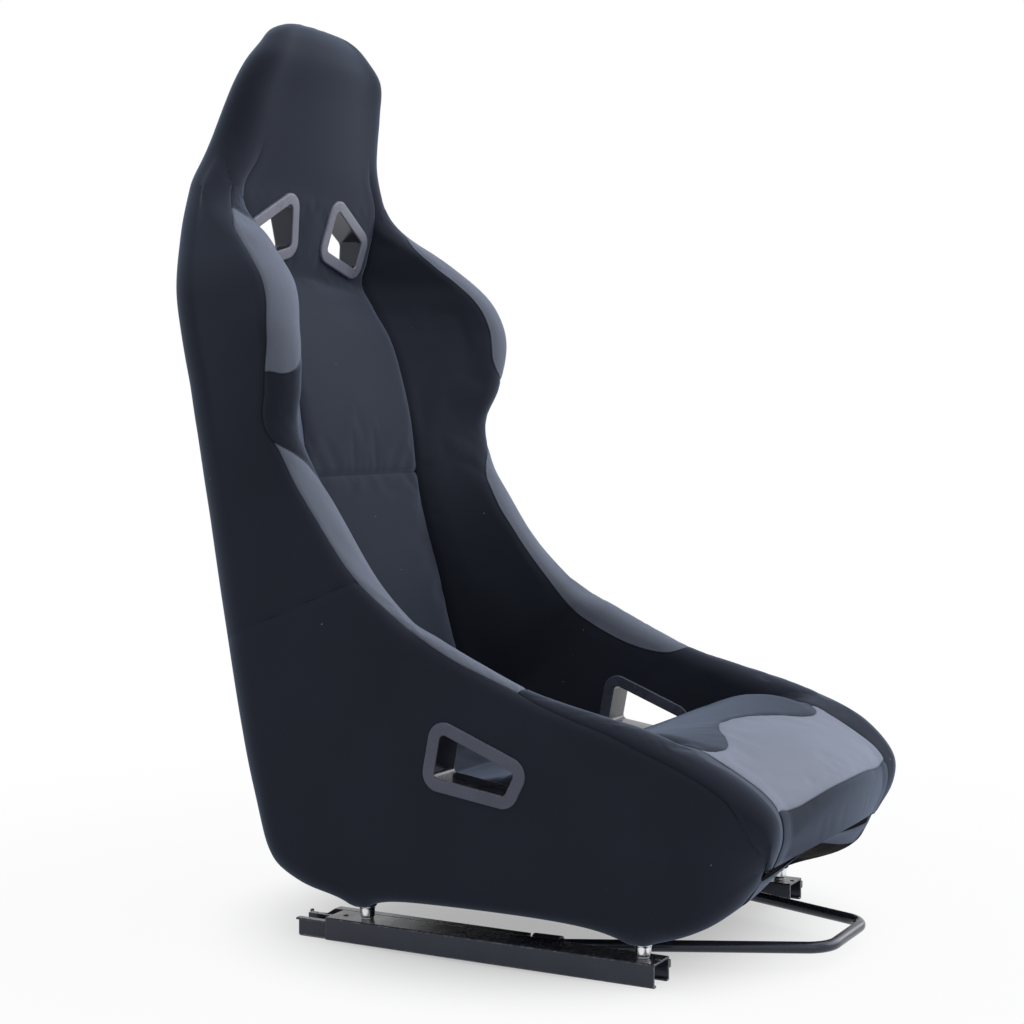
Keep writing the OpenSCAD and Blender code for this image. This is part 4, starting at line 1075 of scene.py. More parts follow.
SHOULDER_LEAF = smoothed((
    (219, 14), (212, 3), (204, -9), (192, -18), (178, -21.5), (164, -21.5), (150, -21),
    (136, -19.8), (122, -18.8), (104, -18.5), (84, -18), (70, -14), (59, -5), (52, 6), (50, 18),
    (52, 30), (53, 60), (90, 70), (150, 70), (200, 60), (222, 30)))
HIP_LEAF = smoothed((
    (-16, 32), (-21, 18), (-32, 4), (-46, -7), (-64, -15), (-100, -20), (-130, -19.5),
    (-162, -20), (-200, -23), (-238, -28), (-300, -35), (-378, -34.5), (-430, -30), (-472, -21),
    (-490, -8), (-492, 6), (-488, 30), (-440, 60), (-250, 70), (-90, 70), (-30, 60)))
CUSHION_HALF = (
    (0, -684), (15, -686), (32, -694), (55, -708), (72, -723), (90, -737), (104, -745),
    (118, -748.5), (131, -746), (142, -740), (151, -730), (172, -722), (190, -780), (172, -842),
    (146, -842), (108, -850), (57, -854), (0, -856))
CUSHION_FRONT = smoothed(CUSHION_HALF + tuple((-x, girth) for x, girth in CUSHION_HALF[-2:0:-1]))


@dataclass(frozen=True)
class BeltSlot:
    """Opening for a belt: its corners from the middle, across and up."""

    corners: Outline
    radius: float = 5.0

    def outline(self, grow: float, corner_steps: int = 4, stretch: float = 1.0) -> Array:
        """Outline with round corners.

        Args:
            grow: Distance that the outline moves outward, in mm.
            corner_steps: Number of lines round a corner.
            stretch: Factor on the second coordinate.

        Returns:
            Points in order, in mm.
        """
        pts = np.array(self.corners, dtype=float) * np.array([1.0, stretch])
        before, after = np.roll(pts, 1, 0), np.roll(pts, -1, 0)

        def unit(v: Array) -> Array:
            return v / np.linalg.norm(v, axis=-1, keepdims=True)

        def outward(v: Array) -> Array:
            d = unit(v)
            return np.stack([d[:, 1], -d[:, 0]], axis=1)

        u, v = unit(pts - before), unit(after - pts)
        p, q = pts + grow * outward(pts - before), pts + grow * outward(after - pts)
        cross = u[:, 0] * v[:, 1] - u[:, 1] * v[:, 0]
        gap = q - p
        t = (gap[:, 0] * v[:, 1] - gap[:, 1] * v[:, 0]) / cross
        grown = p + u * t[:, None]
        half = np.arccos((-u * v).sum(axis=1)) / 2
        r = self.radius + grow
        middle = grown + unit(v - u) * (r / np.sin(half))[:, None]
        first = np.arctan2(outward(pts - before)[:, 1], outward(pts - before)[:, 0])
        sweep = math.pi - 2 * half
        k = np.arange(corner_steps + 1) / corner_steps
        angle = first[:, None] + sweep[:, None] * k
        ring = middle[:, None, :] + r * np.stack([np.cos(angle), np.sin(angle)], axis=2)
        return ring.reshape(-1, 2)


SHOULDER_SLOT = BeltSlot(((32, -3), (-25, 29), (-34, -16), (26, -32)))
LAP_SLOT = BeltSlot(((42, -16), (34, 26), (-44, -5), (-33, -27)))
SHOULDER_AT = (68.0, 707.0)
LAP_AT = (-36.0, 192.0)
LAP_GIRTHS = (-250.0, -700.0)


def below_neck(girths: Array) -> Array:
    """Share that rises from 0 at the neck to 1 a short way below it, one row each."""
    return np.clip((NECK - girths) / NECK_FADE, 0, 1)[:, None]


def cells_in(across: Array, up: Array, slot: BeltSlot, room: float = 2.4) -> Array:
    """Cells of a grid with a corner inside a slot.

    Args:
        across: First coordinate of each point from the slot's middle, in mm.
        up: Second coordinate of each point.
        slot: The slot.
        room: Distance that the slot's outline is grown by.

    Returns:
        True for each cell that is left open.
    """
    hit = outline_distance(np.stack([across, up], axis=-1), slot.outline(room)) > 0
    return hit[:-1, :-1] | hit[1:, :-1] | hit[:-1, 1:] | hit[1:, 1:]


def shoulder_place(grid: Array) -> Array:
    """Place of points against a shoulder slot, in mm, with both halves folded onto the right."""
    x, z = grid[..., 0] / MM, grid[..., 2] / MM
    return np.stack([np.abs(x) - SHOULDER_AT[0], z - SHOULDER_AT[1]], -1)


def lap_cells(grid: Array, girths: Array, least_x: float = 0.0) -> Array:
    """Cells of a wing cover that are left open for the lap belt.

    Args:
        grid: Points of the cover on the right, in metres.
        girths: Girth of each row in mm.
        least_x: Least distance of an opened cell from the centre plane, in metres.

    Returns:
        True for each cell that is left open.
    """
    rows = (girths[:, None] < LAP_GIRTHS[0]) & (girths[:, None] > LAP_GIRTHS[1])
    near = rows & (grid[..., 0] > least_x)
    y, z = grid[..., 1] / MM - LAP_AT[0], grid[..., 2] / MM - LAP_AT[1]
    return cells_in(np.where(near, y, FAR_OFF), z, LAP_SLOT)


def sewn_marks(girths: Array, across: Array, seam: Array) -> dict[str, Array]:
    """Marks that a cover's finish reads: its place on the cloth and its nearest seam."""
    flat = np.stack([across, np.broadcast_to(girths[:, None], across.shape), np.zeros(across.shape)], -1)
    return {"cloth": flat * MM, "seam": seam}


def groove(distance: Array, width: float, depth: float) -> Array:
    """Depth of a sewn line at a distance from it."""
    return depth * np.exp(-(distance / width) ** 2)


@dataclass(frozen=True)
class FootForm:
    """How the seat's underside runs down into its four feet."""

    bolt_x: float = 172.0
    bolt_ys: tuple[float, float] = (-193.0, 101.0)
    reaches: tuple[float, float] = (26.0, 17.0)
    end_z: float = 37.0
    end_r: float = 9.2
    depth: float = 12.8
    arch: float = 2.5
    start_z: float = 104.0
    fade_z: float = 54.0
    flat: float = 8.0
    fade_x: float = 13.0
    tuck: float = 6.5

    def drawn(self, grid: Array) -> Array:
        """Lower edge of a grid drawn down and in to the feet, and up between them.

        Args:
            grid: Points with X to the outside, in metres.

        Returns:
            The moved points.
        """
        x, y, z = (grid[..., k] / MM for k in range(3))
        near = np.clip((self.start_z - z) / self.fade_z, 0, 1) ** 2
        side = np.exp(-np.maximum(self.bolt_x - np.abs(x) - self.flat, 0) / self.fade_x)
        pull = sum(np.exp(-np.maximum(np.abs(y - at) - self.flat, 0) / reach)
                   for at, reach in zip(self.bolt_ys, self.reaches)) * side
        span = self.bolt_ys[1] - self.bolt_ys[0]
        rise = self.arch * np.sin(math.pi * np.clip((y - self.bolt_ys[0]) / span, 0, 1))
        moved = grid.copy()
        moved[..., 2] -= near * (self.depth * pull - rise) * MM
        moved[..., 0] -= np.sign(x) * self.tuck * near**2 * pull * (np.abs(x) > self.bolt_x) * MM
        return moved

    def places(self) -> list[Place]:
        """Axes of the four bolts, in mm."""
        return [(x, y, 0.0) for x in (-self.bolt_x, self.bolt_x) for y in self.bolt_ys]

    def cup(self) -> Outline:
        """Profile of a foot's cover as radius and height in mm."""
        r, z = self.end_r, self.end_z
        return ((4.6, z), (r - 0.8, z), (r - 0.2, z + 0.3), (r, z + 0.9), (r + 0.5, z + 2.4),
                (r + 1.5, z + 4.8), (r + 3.4, z + 7.6), (r + 6.4, z + 10.6), (r + 8, z + 14),
                (r + 6, z + 17), (4.6, z + 17))


FOOT_FORM = FootForm()


@dataclass
class WingCovers:
    """Bolsters and side panels of both wings, sewn together along the outer seam."""

    wall_columns: int = 26
    top_columns: int = 13
    side_columns: int = 50
    pad: float = 9.0
    cloth: float = 2.8
    hip_seam: tuple[tuple[float, float], tuple[float, float]] = ((102.7, 351.4), (160.1, 327.8))

    def lines(self, cuts: list[Section], inside: bool) -> tuple[Array, Array]:
        """Grid of the bolster or of the side panel, on the right, with its arc lengths in mm."""
        grid, arcs = [], []
        for cut in cuts:
            s, x, h, turn = FORM.wing(cut)
            seam = FORM.seam_at(cut.girth, turn)
            if inside:
                a = np.concatenate([np.linspace(s[0], 0, self.wall_columns),
                                    np.linspace(0, seam, self.top_columns)[1:]])
            else:
                a = np.linspace(seam, turn, self.side_columns)
            grid.append(cut.place(np.interp(a, s, x), np.interp(a, s, h)))
            arcs.append(a)
        return np.array(grid), np.array(arcs)

    def bolster(self, rack: FinishRack) -> None:
        """Build both bolsters with their grey patches."""
        cuts = stations(NECK, NOSE)
        girths = np.array([c.girth for c in cuts])
        grid, arcs = self.lines(cuts, True)
        normals = grid_normals(grid, ups(cuts))
        at = np.stack([np.broadcast_to(girths[:, None], arcs.shape), arcs], axis=-1)
        leaf = np.maximum(outline_distance(at, SHOULDER_LEAF), outline_distance(at, HIP_LEAF))
        crease, outer_edge = edge_distances(grid, 1)
        ends = edge_distances(grid, 0)[1]
        below = below_neck(girths)
        deep = below * (1 - 0.7 * np.clip((-690 - girths) / 70, 0, 1)[:, None])
        held = np.abs(leaf) < PATCH_HELD
        moved = grid + AirPass(pressure=1.0, most=0.002).lift(grid, normals, held)
        drop = (eased(outer_edge, 0.006, 0.0016) + eased(crease, 0.007, 0.002) * deep
                + groove(leaf, 2.4, 0.0009) * (outer_edge > 0.004))
        outer = moved - normals * drop[..., None]
        taper = np.clip(-arcs / 22, 0, 1)
        thick = (self.cloth + (self.pad - self.cloth) * taper * taper * (3 - 2 * taper)) * MM
        inner = grid - normals * thick[..., None]
        seam = np.minimum(np.minimum(outer_edge, ends), crease + SEAM_FADE * (1 - below))
        marks = sewn_marks(girths, arcs, seam)
        marks["patch"] = leaf * MM
        holes = lap_cells(grid, girths)
        for side in Side:
            piece = Quilt(outer, inner, marks, holes).build(f"wing_bolster_{side.word}", side)
            dress(piece, rack.patched)
            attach(piece, Body.SEAT.value)
            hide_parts(f"shoulder_bolster_{side.word}", f"hip_bolster_{side.word}")
            LOG.info("wing bolster, %s: %d faces", side.word, len(piece.data.polygons))

    def side_panel(self, rack: FinishRack) -> None:
        """Build both side panels, with the seam that crosses the hip."""
        cuts = stations(NECK, NOSE)
        girths = np.array([c.girth for c in cuts])
        grid, arcs = self.lines(cuts, False)
        grid = FOOT_FORM.drawn(grid)
        normals = grid_normals(grid, np.array([1.0, 0.0, 0.0]))
        (y0, z0), (y1, z1) = self.hip_seam
        line = np.array([z1 - z0, y0 - y1]) / math.hypot(z1 - z0, y1 - y0)
        across = (grid[..., 1] / MM - y0) * line[0] + (grid[..., 2] / MM - z0) * line[1]
        across = np.where((grid[..., 2] > 0.29) & (grid[..., 2] < 0.40), np.abs(across), 99.0)
        edges = np.minimum(*edge_distances(grid, 1))
        ends = edge_distances(grid, 0)[1]
        drop = eased(edges, 0.006, 0.0014) + groove(across, 2.6, 0.0012)
        outer = grid - normals * drop[..., None]
        inner = grid - normals * self.cloth * MM
        seam = np.minimum(np.minimum(edges, ends), across * MM)
        marks = sewn_marks(girths, arcs, seam)
        holes = lap_cells(grid, girths, least_x=0.19)
        for side in Side:
            piece = Quilt(outer, inner, marks, holes).build(f"side_panel_{side.word}", side)
            dress(piece, rack.velour)
            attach(piece, Body.SEAT.value)
            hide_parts(f"side_cover_{side.word}")
            LOG.info("side panel, %s: %d faces", side.word, len(piece.data.polygons))

    def build(self, rack: FinishRack) -> None:
        """Build every cover of the wings."""
        self.bolster(rack)
        self.side_panel(rack)


@dataclass
class PanelPads:
    """Pads between the wings: upper and lower back and the seat cushion."""

    step: float = 3.2
    across: int = 26
    edge: int = 8
    thick: float = 13.0
    shoulder: float = 3.2
    reach: float = 0.011

    def surface(self, cuts: list[Section]) -> Array:
        """Grid of the pads' face over both halves, from left to right."""
        return np.array([cut.place(*mirrored(*FORM.panel(cut, self.across, self.edge))) for cut in cuts])

    def underside(self, cuts: list[Section]) -> Array:
        """Grid of the pads' rear face: a layer below, and the nose's own underside at its end."""
        rows = []
        for cut in cuts:
            x, h = mirrored(*FORM.panel(cut, self.across, self.edge))
            flat = float(FORM.hind.at(cut.girth) - FORM.corner.at(cut.girth))
            hollow = FORM.hollow(cut.girth, x, flat)
            nose = np.clip((-785 - cut.girth) / 15, 0, 1)
            low = np.maximum(h - self.thick - 6 * (np.abs(x) / x.max()) ** 6, hollow + 7.2)
            low = low * (1 - nose) + (hollow + 0.2) * nose
            rows.append(cut.place(x, np.minimum(low, h - 2.0)))
        return np.array(rows)

    def pad(self, name: str, node: str, high: float, low: float, finish: Material,
            air: AirPass, patch: Array | None = None, slots: bool = False, fill: float = 0.8,
            ends: tuple[float, float] = (1.0, 1.0)) -> None:
        """Build one pad.

        Args:
            name: Name of the piece.
            node: CAD node that it stands for.
            high: Girth of its upper or rear end.
            low: Girth of its lower or front end.
            finish: Its finish.
            air: How it is filled.
            patch: Outline of a grey patch as distance across and girth.
            slots: Whether the shoulder slots pass through it.
            fill: Not used.
            ends: Share of the rounded shoulder at its two ends.
        """
        cuts = stations(high, low, self.step)
        girths = np.array([c.girth for c in cuts])
        grid = self.surface(cuts)
        normals = grid_normals(grid, ups(cuts))
        x = grid[..., 0] / MM
        sides = np.minimum(*edge_distances(grid, 1))
        first, last = edge_distances(grid, 0)
        leaf = np.full(x.shape, -99.0)
        if patch is not None:
            at = np.stack([x, np.broadcast_to(girths[:, None], x.shape)], axis=-1)
            leaf = outline_distance(at, patch)
        holes, held = None, np.abs(leaf) < PATCH_HELD
        if slots:
            folded = shoulder_place(grid)
            holes = cells_in(*np.moveaxis(folded, -1, 0), SHOULDER_SLOT)
            held = held | (outline_distance(folded, SHOULDER_SLOT.outline(15)) > 0)
        moved = grid + air.lift(grid, normals, held)
        drop = (eased(first, self.reach, self.shoulder * MM * ends[0])
                + eased(last, self.reach, self.shoulder * MM * ends[1]) + groove(leaf, 2.6, 0.0012))
        outer = moved - normals * drop[..., None]
        inner = self.underside(cuts)
        below = SEAM_FADE * (1 - below_neck(girths))
        seam = np.minimum(np.minimum(first + 1 - ends[0], last + 1 - ends[1]), sides + below)
        if slots:
            rim = outline_distance(folded, SHOULDER_SLOT.outline(12.8, 8, 1.02))
            seam = np.minimum(seam, np.abs(rim) * MM)
        marks = sewn_marks(girths, x, seam)
        if patch is not None:
            marks["patch"] = leaf * MM
        piece = Quilt(outer, inner, marks, holes).build(name)
        dress(piece, finish)
        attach(piece, Body.SEAT.value)
        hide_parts(node)
        LOG.info("%s: %d faces", name, len(piece.data.polygons))

    def build(self, rack: FinishRack) -> None:
        """Build the three pads."""
        self.pad("back_upholstery_upper", "back_pad_upper", NECK, CHEST_SEAM, rack.velour,
                 AirPass(), slots=True, ends=(0.0, 1.0))
        self.pad("back_upholstery_lower", "back_pad_lower", CHEST_SEAM, BIGHT, rack.velour,
                 AirPass(most=0.004))
        self.pad("seat_upholstery", "seat_cushion", BIGHT, NOSE, rack.cushion,
                 AirPass(pressure=1.6, most=0.004), patch=CUSHION_FRONT, fill=0.9, ends=(1.0, 0.0))


@dataclass
class HeadCover:
    """Padded head, a closed sleeve over the shell's top."""

    top: float = 428.0
    cap: float = 400.0
    inset: float = 3.6
    seam_end: float = 270.0
    counts: tuple[int, int, int, int] = (24, 18, 22, 20)
    points: int = 100
    passes: int = 90

    def softened(self, x: Array, h: Array, share: float) -> tuple[Array, Array]:
        """Half loop with its crease filled out and its edges rounded, from its front middle on.

        Args:
            x: Distances from the centre plane in mm.
            h: Heights in mm.
            share: How far it is smoothed, from 0 to 1.

        Returns:
            The new distances and heights.
        """
        run = np.concatenate([[0], np.cumsum(np.hypot(np.diff(x), np.diff(h)))])
        even = np.linspace(0, run[-1], self.points)
        p = np.stack([np.interp(even, run, x), np.interp(even, run, h)], axis=1)
        hold = np.clip((run[-1] - even) / 20, 0, 1)[:, None]
        for _ in range(self.passes):
            wide = np.concatenate([p[1:2] * [-1, 1], p, p[-1:]])
            p += hold * 0.5 * ((wide[:-2] + wide[2:]) / 2 - p)
        return (x + share * (np.interp(run, even, p[:, 0]) - x),
                h + share * (np.interp(run, even, p[:, 1]) - h))

    def half(self, cut: Section) -> tuple[Array, Array, Array]:
        """Half loop of the head: distances, heights and arc lengths from the wing top."""
        n_panel, n_wall, n_side, n_rear = self.counts
        px, ph = FORM.panel(cut, n_panel - 7, 7)
        s, x, h, turn = FORM.wing(cut)
        a = np.concatenate([np.linspace(s[0], 0, n_wall)[1:], np.linspace(0, turn, n_side)[1:],
                            np.linspace(turn, s[-1], n_rear)[1:]])
        wx, wh = np.interp(a, s, x), np.interp(a, s, h)
        share = float(np.clip((cut.girth - NECK) / 60, 0, 1))
        last = n_wall + n_side - 2
        front_x, front_h = self.softened(np.append(px, wx[:last]), np.append(ph, wh[:last]),
                                         share * share * (3 - 2 * share))
        px, wx[:last] = np.split(front_x, [len(px)])
        ph, wh[:last] = np.split(front_h, [len(ph)])
        sunk = self.inset * np.clip((self.cap - cut.girth) / 4, 0, 1)
        wh = wh + np.where(a > turn, sunk * np.clip((a - turn) / 4, 0, 1), 0)
        return (np.concatenate([px, wx]), np.concatenate([ph, wh]),
                np.concatenate([np.full(len(px), s[0]), a]))

    def build(self, rack: FinishRack) -> None:
        """Build the head cover."""
        girths = np.concatenate([self.top - np.array([0.0, 0.8, 2.2, 4.2, 7.0, 10.0, 13.0, 16.5]),
                                 np.linspace(self.top - 20, NECK, 52)])
        cuts = [FORM.section(g) for g in girths]
        loops, arcs = [], []
        for cut in cuts:
            x, h, a = self.half(cut)
            loops.append(cut.place(np.concatenate([x, -x[-2:0:-1]]), np.concatenate([h, h[-2:0:-1]])))
            arcs.append(np.concatenate([a, a[-2:0:-1]]))
        grid, arc = np.array(loops), np.array(arcs)
        rows, cols = grid.shape[:2]
        seam_line = FORM.seam.at(NECK) + (girths[:, None] - NECK) * 0.75
        seam = np.abs(arc - seam_line) + np.clip((girths[:, None] - self.seam_end) / 2, 0, 9)
        out = grid - grid.mean(axis=1, keepdims=True)
        padded = np.concatenate([grid[:, -1:], grid, grid[:, :1]], axis=1)
        normals = grid_normals(padded, np.concatenate([out[:, -1:], out, out[:, :1]], axis=1))[:, 1:-1]
        drop = groove(seam, 2.2, 0.0014)
        points = (grid - normals * drop[..., None]).reshape(-1, 3)
        faces = grid_faces(rows, cols)
        faces.extend(tuple(row * cols + c for c in range(cols)) for row in (0, rows - 1))
        marks = sewn_marks(girths, arc, seam * MM)
        marks = {key: value.reshape(rows * cols, -1) if value.ndim == 3 else value.reshape(-1)
                 for key, value in marks.items()}
        piece = mesh_object("head_upholstery", points, faces, marks)
        dress(piece, rack.velour)
        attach(piece, Body.SEAT.value)
        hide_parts("head_pad")
        LOG.info("head cover: %d faces", len(piece.data.polygons))


@dataclass
class RearCover:
    """Cover of the back's hollow rear face, from under the head's top to the heel."""

    top: float = 400.0
    low: float = -355.0
    step: float = 3.6
    half_columns: int = 26
    cloth: float = 2.8

    def build(self, rack: FinishRack) -> None:
        """Build the rear cover with the ways through for the shoulder belts."""
        cuts = stations(self.top, self.low, self.step)
        girths = np.array([c.girth for c in cuts])
        grid = np.array([FORM.rear_row(cut, self.half_columns) for cut in cuts])
        normals = grid_normals(grid, -ups(cuts))
        seam = np.minimum(np.minimum(*edge_distances(grid, 1)), np.minimum(*edge_distances(grid, 0)))
        outer = grid - normals * eased(seam, 0.005, 0.0012)[..., None]
        inner = grid - normals * self.cloth * MM
        holes = cells_in(*np.moveaxis(shoulder_place(grid), -1, 0), SHOULDER_SLOT)
        marks = sewn_marks(girths, grid[..., 0] / MM, seam)
        piece = Quilt(outer, inner, marks, holes).build("rear_upholstery")
        dress(piece, rack.velour)
        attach(piece, Body.SEAT.value)
        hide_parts("back_cover")
        LOG.info("rear cover: %d faces", len(piece.data.polygons))


@dataclass
class Underside:
    """Bare moulded underside of the shell, with the textile drawn over its four feet."""

    high: float = -338.0
    low: float = -879.0
    step: float = 4.0
    half_columns: int = 34
    thick: float = 4.0
    sunk: float = 0.7

    def build(self, rack: FinishRack) -> None:
        """Build the underside and the covers of the feet."""
        cuts = stations(self.high, self.low, self.step)
        rows = [FORM.rear_row(cut, self.half_columns, self.sunk) for cut in cuts]
        outer = FOOT_FORM.drawn(np.array(rows))
        inner = outer + ups(cuts) * self.thick * MM
        shell = Quilt(outer, inner).build("shell_underside")
        dress(shell, rack.shell)
        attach(shell, Body.SEAT.value)
        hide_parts("seat_shell")
        points, faces = turned(FOOT_FORM.cup(), FOOT_FORM.places(), 48)
        feet = mesh_object("foot_covers", points, faces, {"seam": np.full(len(points), 0.01),
                                                          "cloth": points * [1, 1, 0]})
        dress(feet, rack.velour)
        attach(feet, Body.SEAT.value)
        LOG.info("underside: %d faces, feet: %d faces", len(shell.data.polygons),
                 len(feet.data.polygons))


# ---- Trim and fixings ---------------------------------------------------------------------


@dataclass
class SlotBezels:
    """Moulded frames round the belt slots, on both faces of the seat."""

    width: float = 12.5
    height: float = 3.0
    wall: float = 2.0
    lean: float = 11.0
    front_y: float = 280.9
    rear_y: float = 303.2
    rear_turn: Place = (-3.4, 0.0, 4.9)
    wing: tuple[float, float] = (171.0, 205.0)

    def face(self) -> list[tuple[float, float]]:
        """Rounded face of a frame as growth from the opening and height over its seat."""
        w, h = self.width, self.height
        return [(0.0, 0.4), (0.1, h - 0.9), (0.35, h - 0.35), (0.9, h), (1.4, h), (w - 2.0, h),
                (w - 1.3, h - 0.05), (w - 0.5, h - 0.45), (w - 0.1, h - 1.1), (w, 0.7), (w, 0.0),
                (self.wall, 0.0)]

    def ring(self, slot: BeltSlot, to_face: Callable[[Array, float], Array],
             to_wall: Callable[[Array], Array], stretch: float, name: str, side: Side,
             node: str, rack: FinishRack) -> None:
        """Build one frame.

        Args:
            slot: The opening.
            to_face: Carries an outline at a height over the seat into the seat's frame, in mm.
            to_wall: Carries an outline to the inner end of the collar, in mm.
            stretch: Factor on the outline's second coordinate.
            name: Name of the piece.
            side: Side of the seat.
            node: CAD node that it stands for.
            rack: The finishes.
        """
        rings = [to_face(slot.outline(grow, 10, stretch), h) for grow, h in self.face()]
        rings.append(to_wall(slot.outline(self.wall, 10)))
        rings.append(to_wall(slot.outline(0.0, 10)))
        n, count = len(rings[0]), len(rings)
        points = np.concatenate(rings) * MM * np.array([side.value, 1, 1])
        # the opening's two rings are marked for the painted shade in the frame's opening
        inside = np.zeros(count)
        inside[[0, -1]] = 1.0
        piece = mesh_object(name, points, grid_faces(count, n, round_rows=True),
                            {"throat_shade": np.repeat(inside, n)}, sharp=50.0)
        # the shoulder frames take the plastic painted lighter for their light
        dress(piece, rack.shoulder_bezel if "shoulder" in name else rack.bezel)
        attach(piece, Body.SEAT.value)
        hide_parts(node)

    def build(self, rack: FinishRack) -> None:
        """Build the eight frames."""
        tall = 1 / math.cos(math.radians(self.lean))
        middle = (self.front_y + self.rear_y) / 2
        tilt = Matrix.Rotation(math.radians(self.lean), 3, "X")
        rx, _, rz = (math.radians(a) for a in self.rear_turn)
        hind = Matrix.Rotation(rz, 3, "Z") @ Matrix.Rotation(rx, 3, "X")

        def carried(turn: Matrix, y: float, sign: float) -> Callable[[Array, float], Array]:
            def run(pts: Array, h: float) -> Array:
                local = np.stack([pts[:, 0], np.full(len(pts), sign * h), pts[:, 1]], axis=1)
                return local @ np.array(turn).T + np.array([SHOULDER_AT[0], y, SHOULDER_AT[1]])
            return run

        def at_y(pts: Array) -> Array:
            x, z = (pts + SHOULDER_AT).T
            return np.stack([x, np.full(len(pts), middle), z], 1)

        def lap(face_x: float, sign: float) -> Callable[[Array, float], Array]:
            return lambda pts, h: np.stack(
                [np.full(len(pts), face_x + sign * h), pts[:, 0] + LAP_AT[0], pts[:, 1] + LAP_AT[1]], 1)

        def at_x(pts: Array) -> Array:
            return lap(sum(self.wing) / 2, 1)(pts, 0.0)

        frames = (("shoulder", "front", SHOULDER_SLOT, carried(tilt, self.front_y, -1), at_y, tall),
                  ("shoulder", "rear", SHOULDER_SLOT, carried(hind, self.rear_y, 1), at_y, tall),
                  ("lap", "outer", LAP_SLOT, lap(self.wing[1], 1), at_x, 1.0),
                  ("lap", "inner", LAP_SLOT, lap(self.wing[0], -1), at_x, 1.0))
        for side in Side:
            for belt, face, slot, to_face, to_wall, stretch in frames:
                self.ring(slot, to_face, to_wall, stretch, f"{belt}_frame_{face}_{side.word}", side,
                          f"{belt}_bezel_{face}_{side.word}", rack)
        LOG.info("slot frames: 8")


@dataclass
class Fixings:
    """Spacers and washers under the four feet."""

    bolt_r: float = 4.2

    def build(self, rack: FinishRack) -> None:
        """Build the spacers and the washers."""
        z, r = RAIL_TOP, self.bolt_r
        top = FOOT_FORM.end_z
        spacer = ((r, z + 2.2), (6.4, z + 2.2), (6.8, z + 2.5), (6.95, z + 2.9), (7.05, z + 4.2),
                  (7.5, top - 3.0), (8.0, top - 1.2), (8.2, top - 0.8), (8.2, top - 0.3), (7.9, top),
                  (r, top))
        washer = ((r, z), (5.7, z), (6.0, z + 0.3), (6.0, z + 1.9), (5.7, z + 2.2), (r, z + 2.2))
        for name, profile, node, finish, slot in (
                ("chrome_spacers", spacer, "seat_spacers", rack.chrome, "chrome"),
                ("bright_washers", washer, "seat_washers", rack.zinc, "zinc_steel")):
            points, faces = turned(profile, FOOT_FORM.places())
            piece = mesh_object(name, points, faces, sharp=35.0)
            dress(piece, finish)
            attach(piece, Body.SEAT.value)
            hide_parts(node)
        LOG.info("spacers and washers: 4 each")


@dataclass
class Handle:
    """Bent round bar that lifts both latches."""

    diameter: float = 11.0
    bend: float = 30.0
    rise: float = 1.0
    socket_x: float = 147.4
    socket_y: float = -96.0
    leg_y: float = -70.0
    grip_z: float = 17.2
    corner_x: float = 52.5
    front_y: float = -326.0

    def middle_line(self) -> Array:
        """Middle line of the whole bar, in mm in its own plane."""
        knee = np.array([self.socket_x, self.socket_y - self.leg_y])
        front = np.array([self.corner_x, self.front_y - self.leg_y])
        arm = (front - knee) / np.linalg.norm(front - knee)
        splay = math.atan2(self.socket_x - self.corner_x, abs(self.front_y - self.socket_y))
        reach = self.bend * math.tan((math.pi / 2 - splay) / 2)
        cut = self.bend * math.tan(splay / 2)
        path = [np.array([self.socket_x, 0.0]), *self.arc(knee + [-self.bend, cut], 0, -splay, 6)]
        first, last = knee + arm * cut, front - arm * reach
        path.extend(first + (last - first) * k for k in np.linspace(0, 1, 12)[1:-1])
        path.extend(self.arc(front + [-reach, self.bend], -splay, -math.pi / 2, 16))
        path.extend(np.array([x, front[1]]) for x in np.linspace(front[0] - reach, 0, 6)[1:])
        half = np.array(path)
        return np.concatenate([half, half[-2::-1] * [-1, 1]])

    def arc(self, centre: Array, start: float, stop: float, steps: int) -> list[Array]:
        """Points on a bend."""
        return [centre + self.bend * np.array([math.cos(a), math.sin(a)])
                for a in np.linspace(start, stop, steps)]

    def build(self, rack: FinishRack) -> None:
        """Build the bar."""
        flat = self.middle_line()
        tilt = np.array(Matrix.Rotation(math.radians(-self.rise), 3, "X"))
        path = np.column_stack([flat, np.zeros(len(flat))]) @ tilt.T + [0, self.leg_y, self.grip_z]
        piece = RoundBar(self.diameter * MM, 32).build("release_bar", path * MM)
        dress(piece, rack.steel)
        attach(piece, Body.LATCH.value)
        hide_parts("handle_bar")
        LOG.info("release bar: %d faces", len(piece.data.polygons))


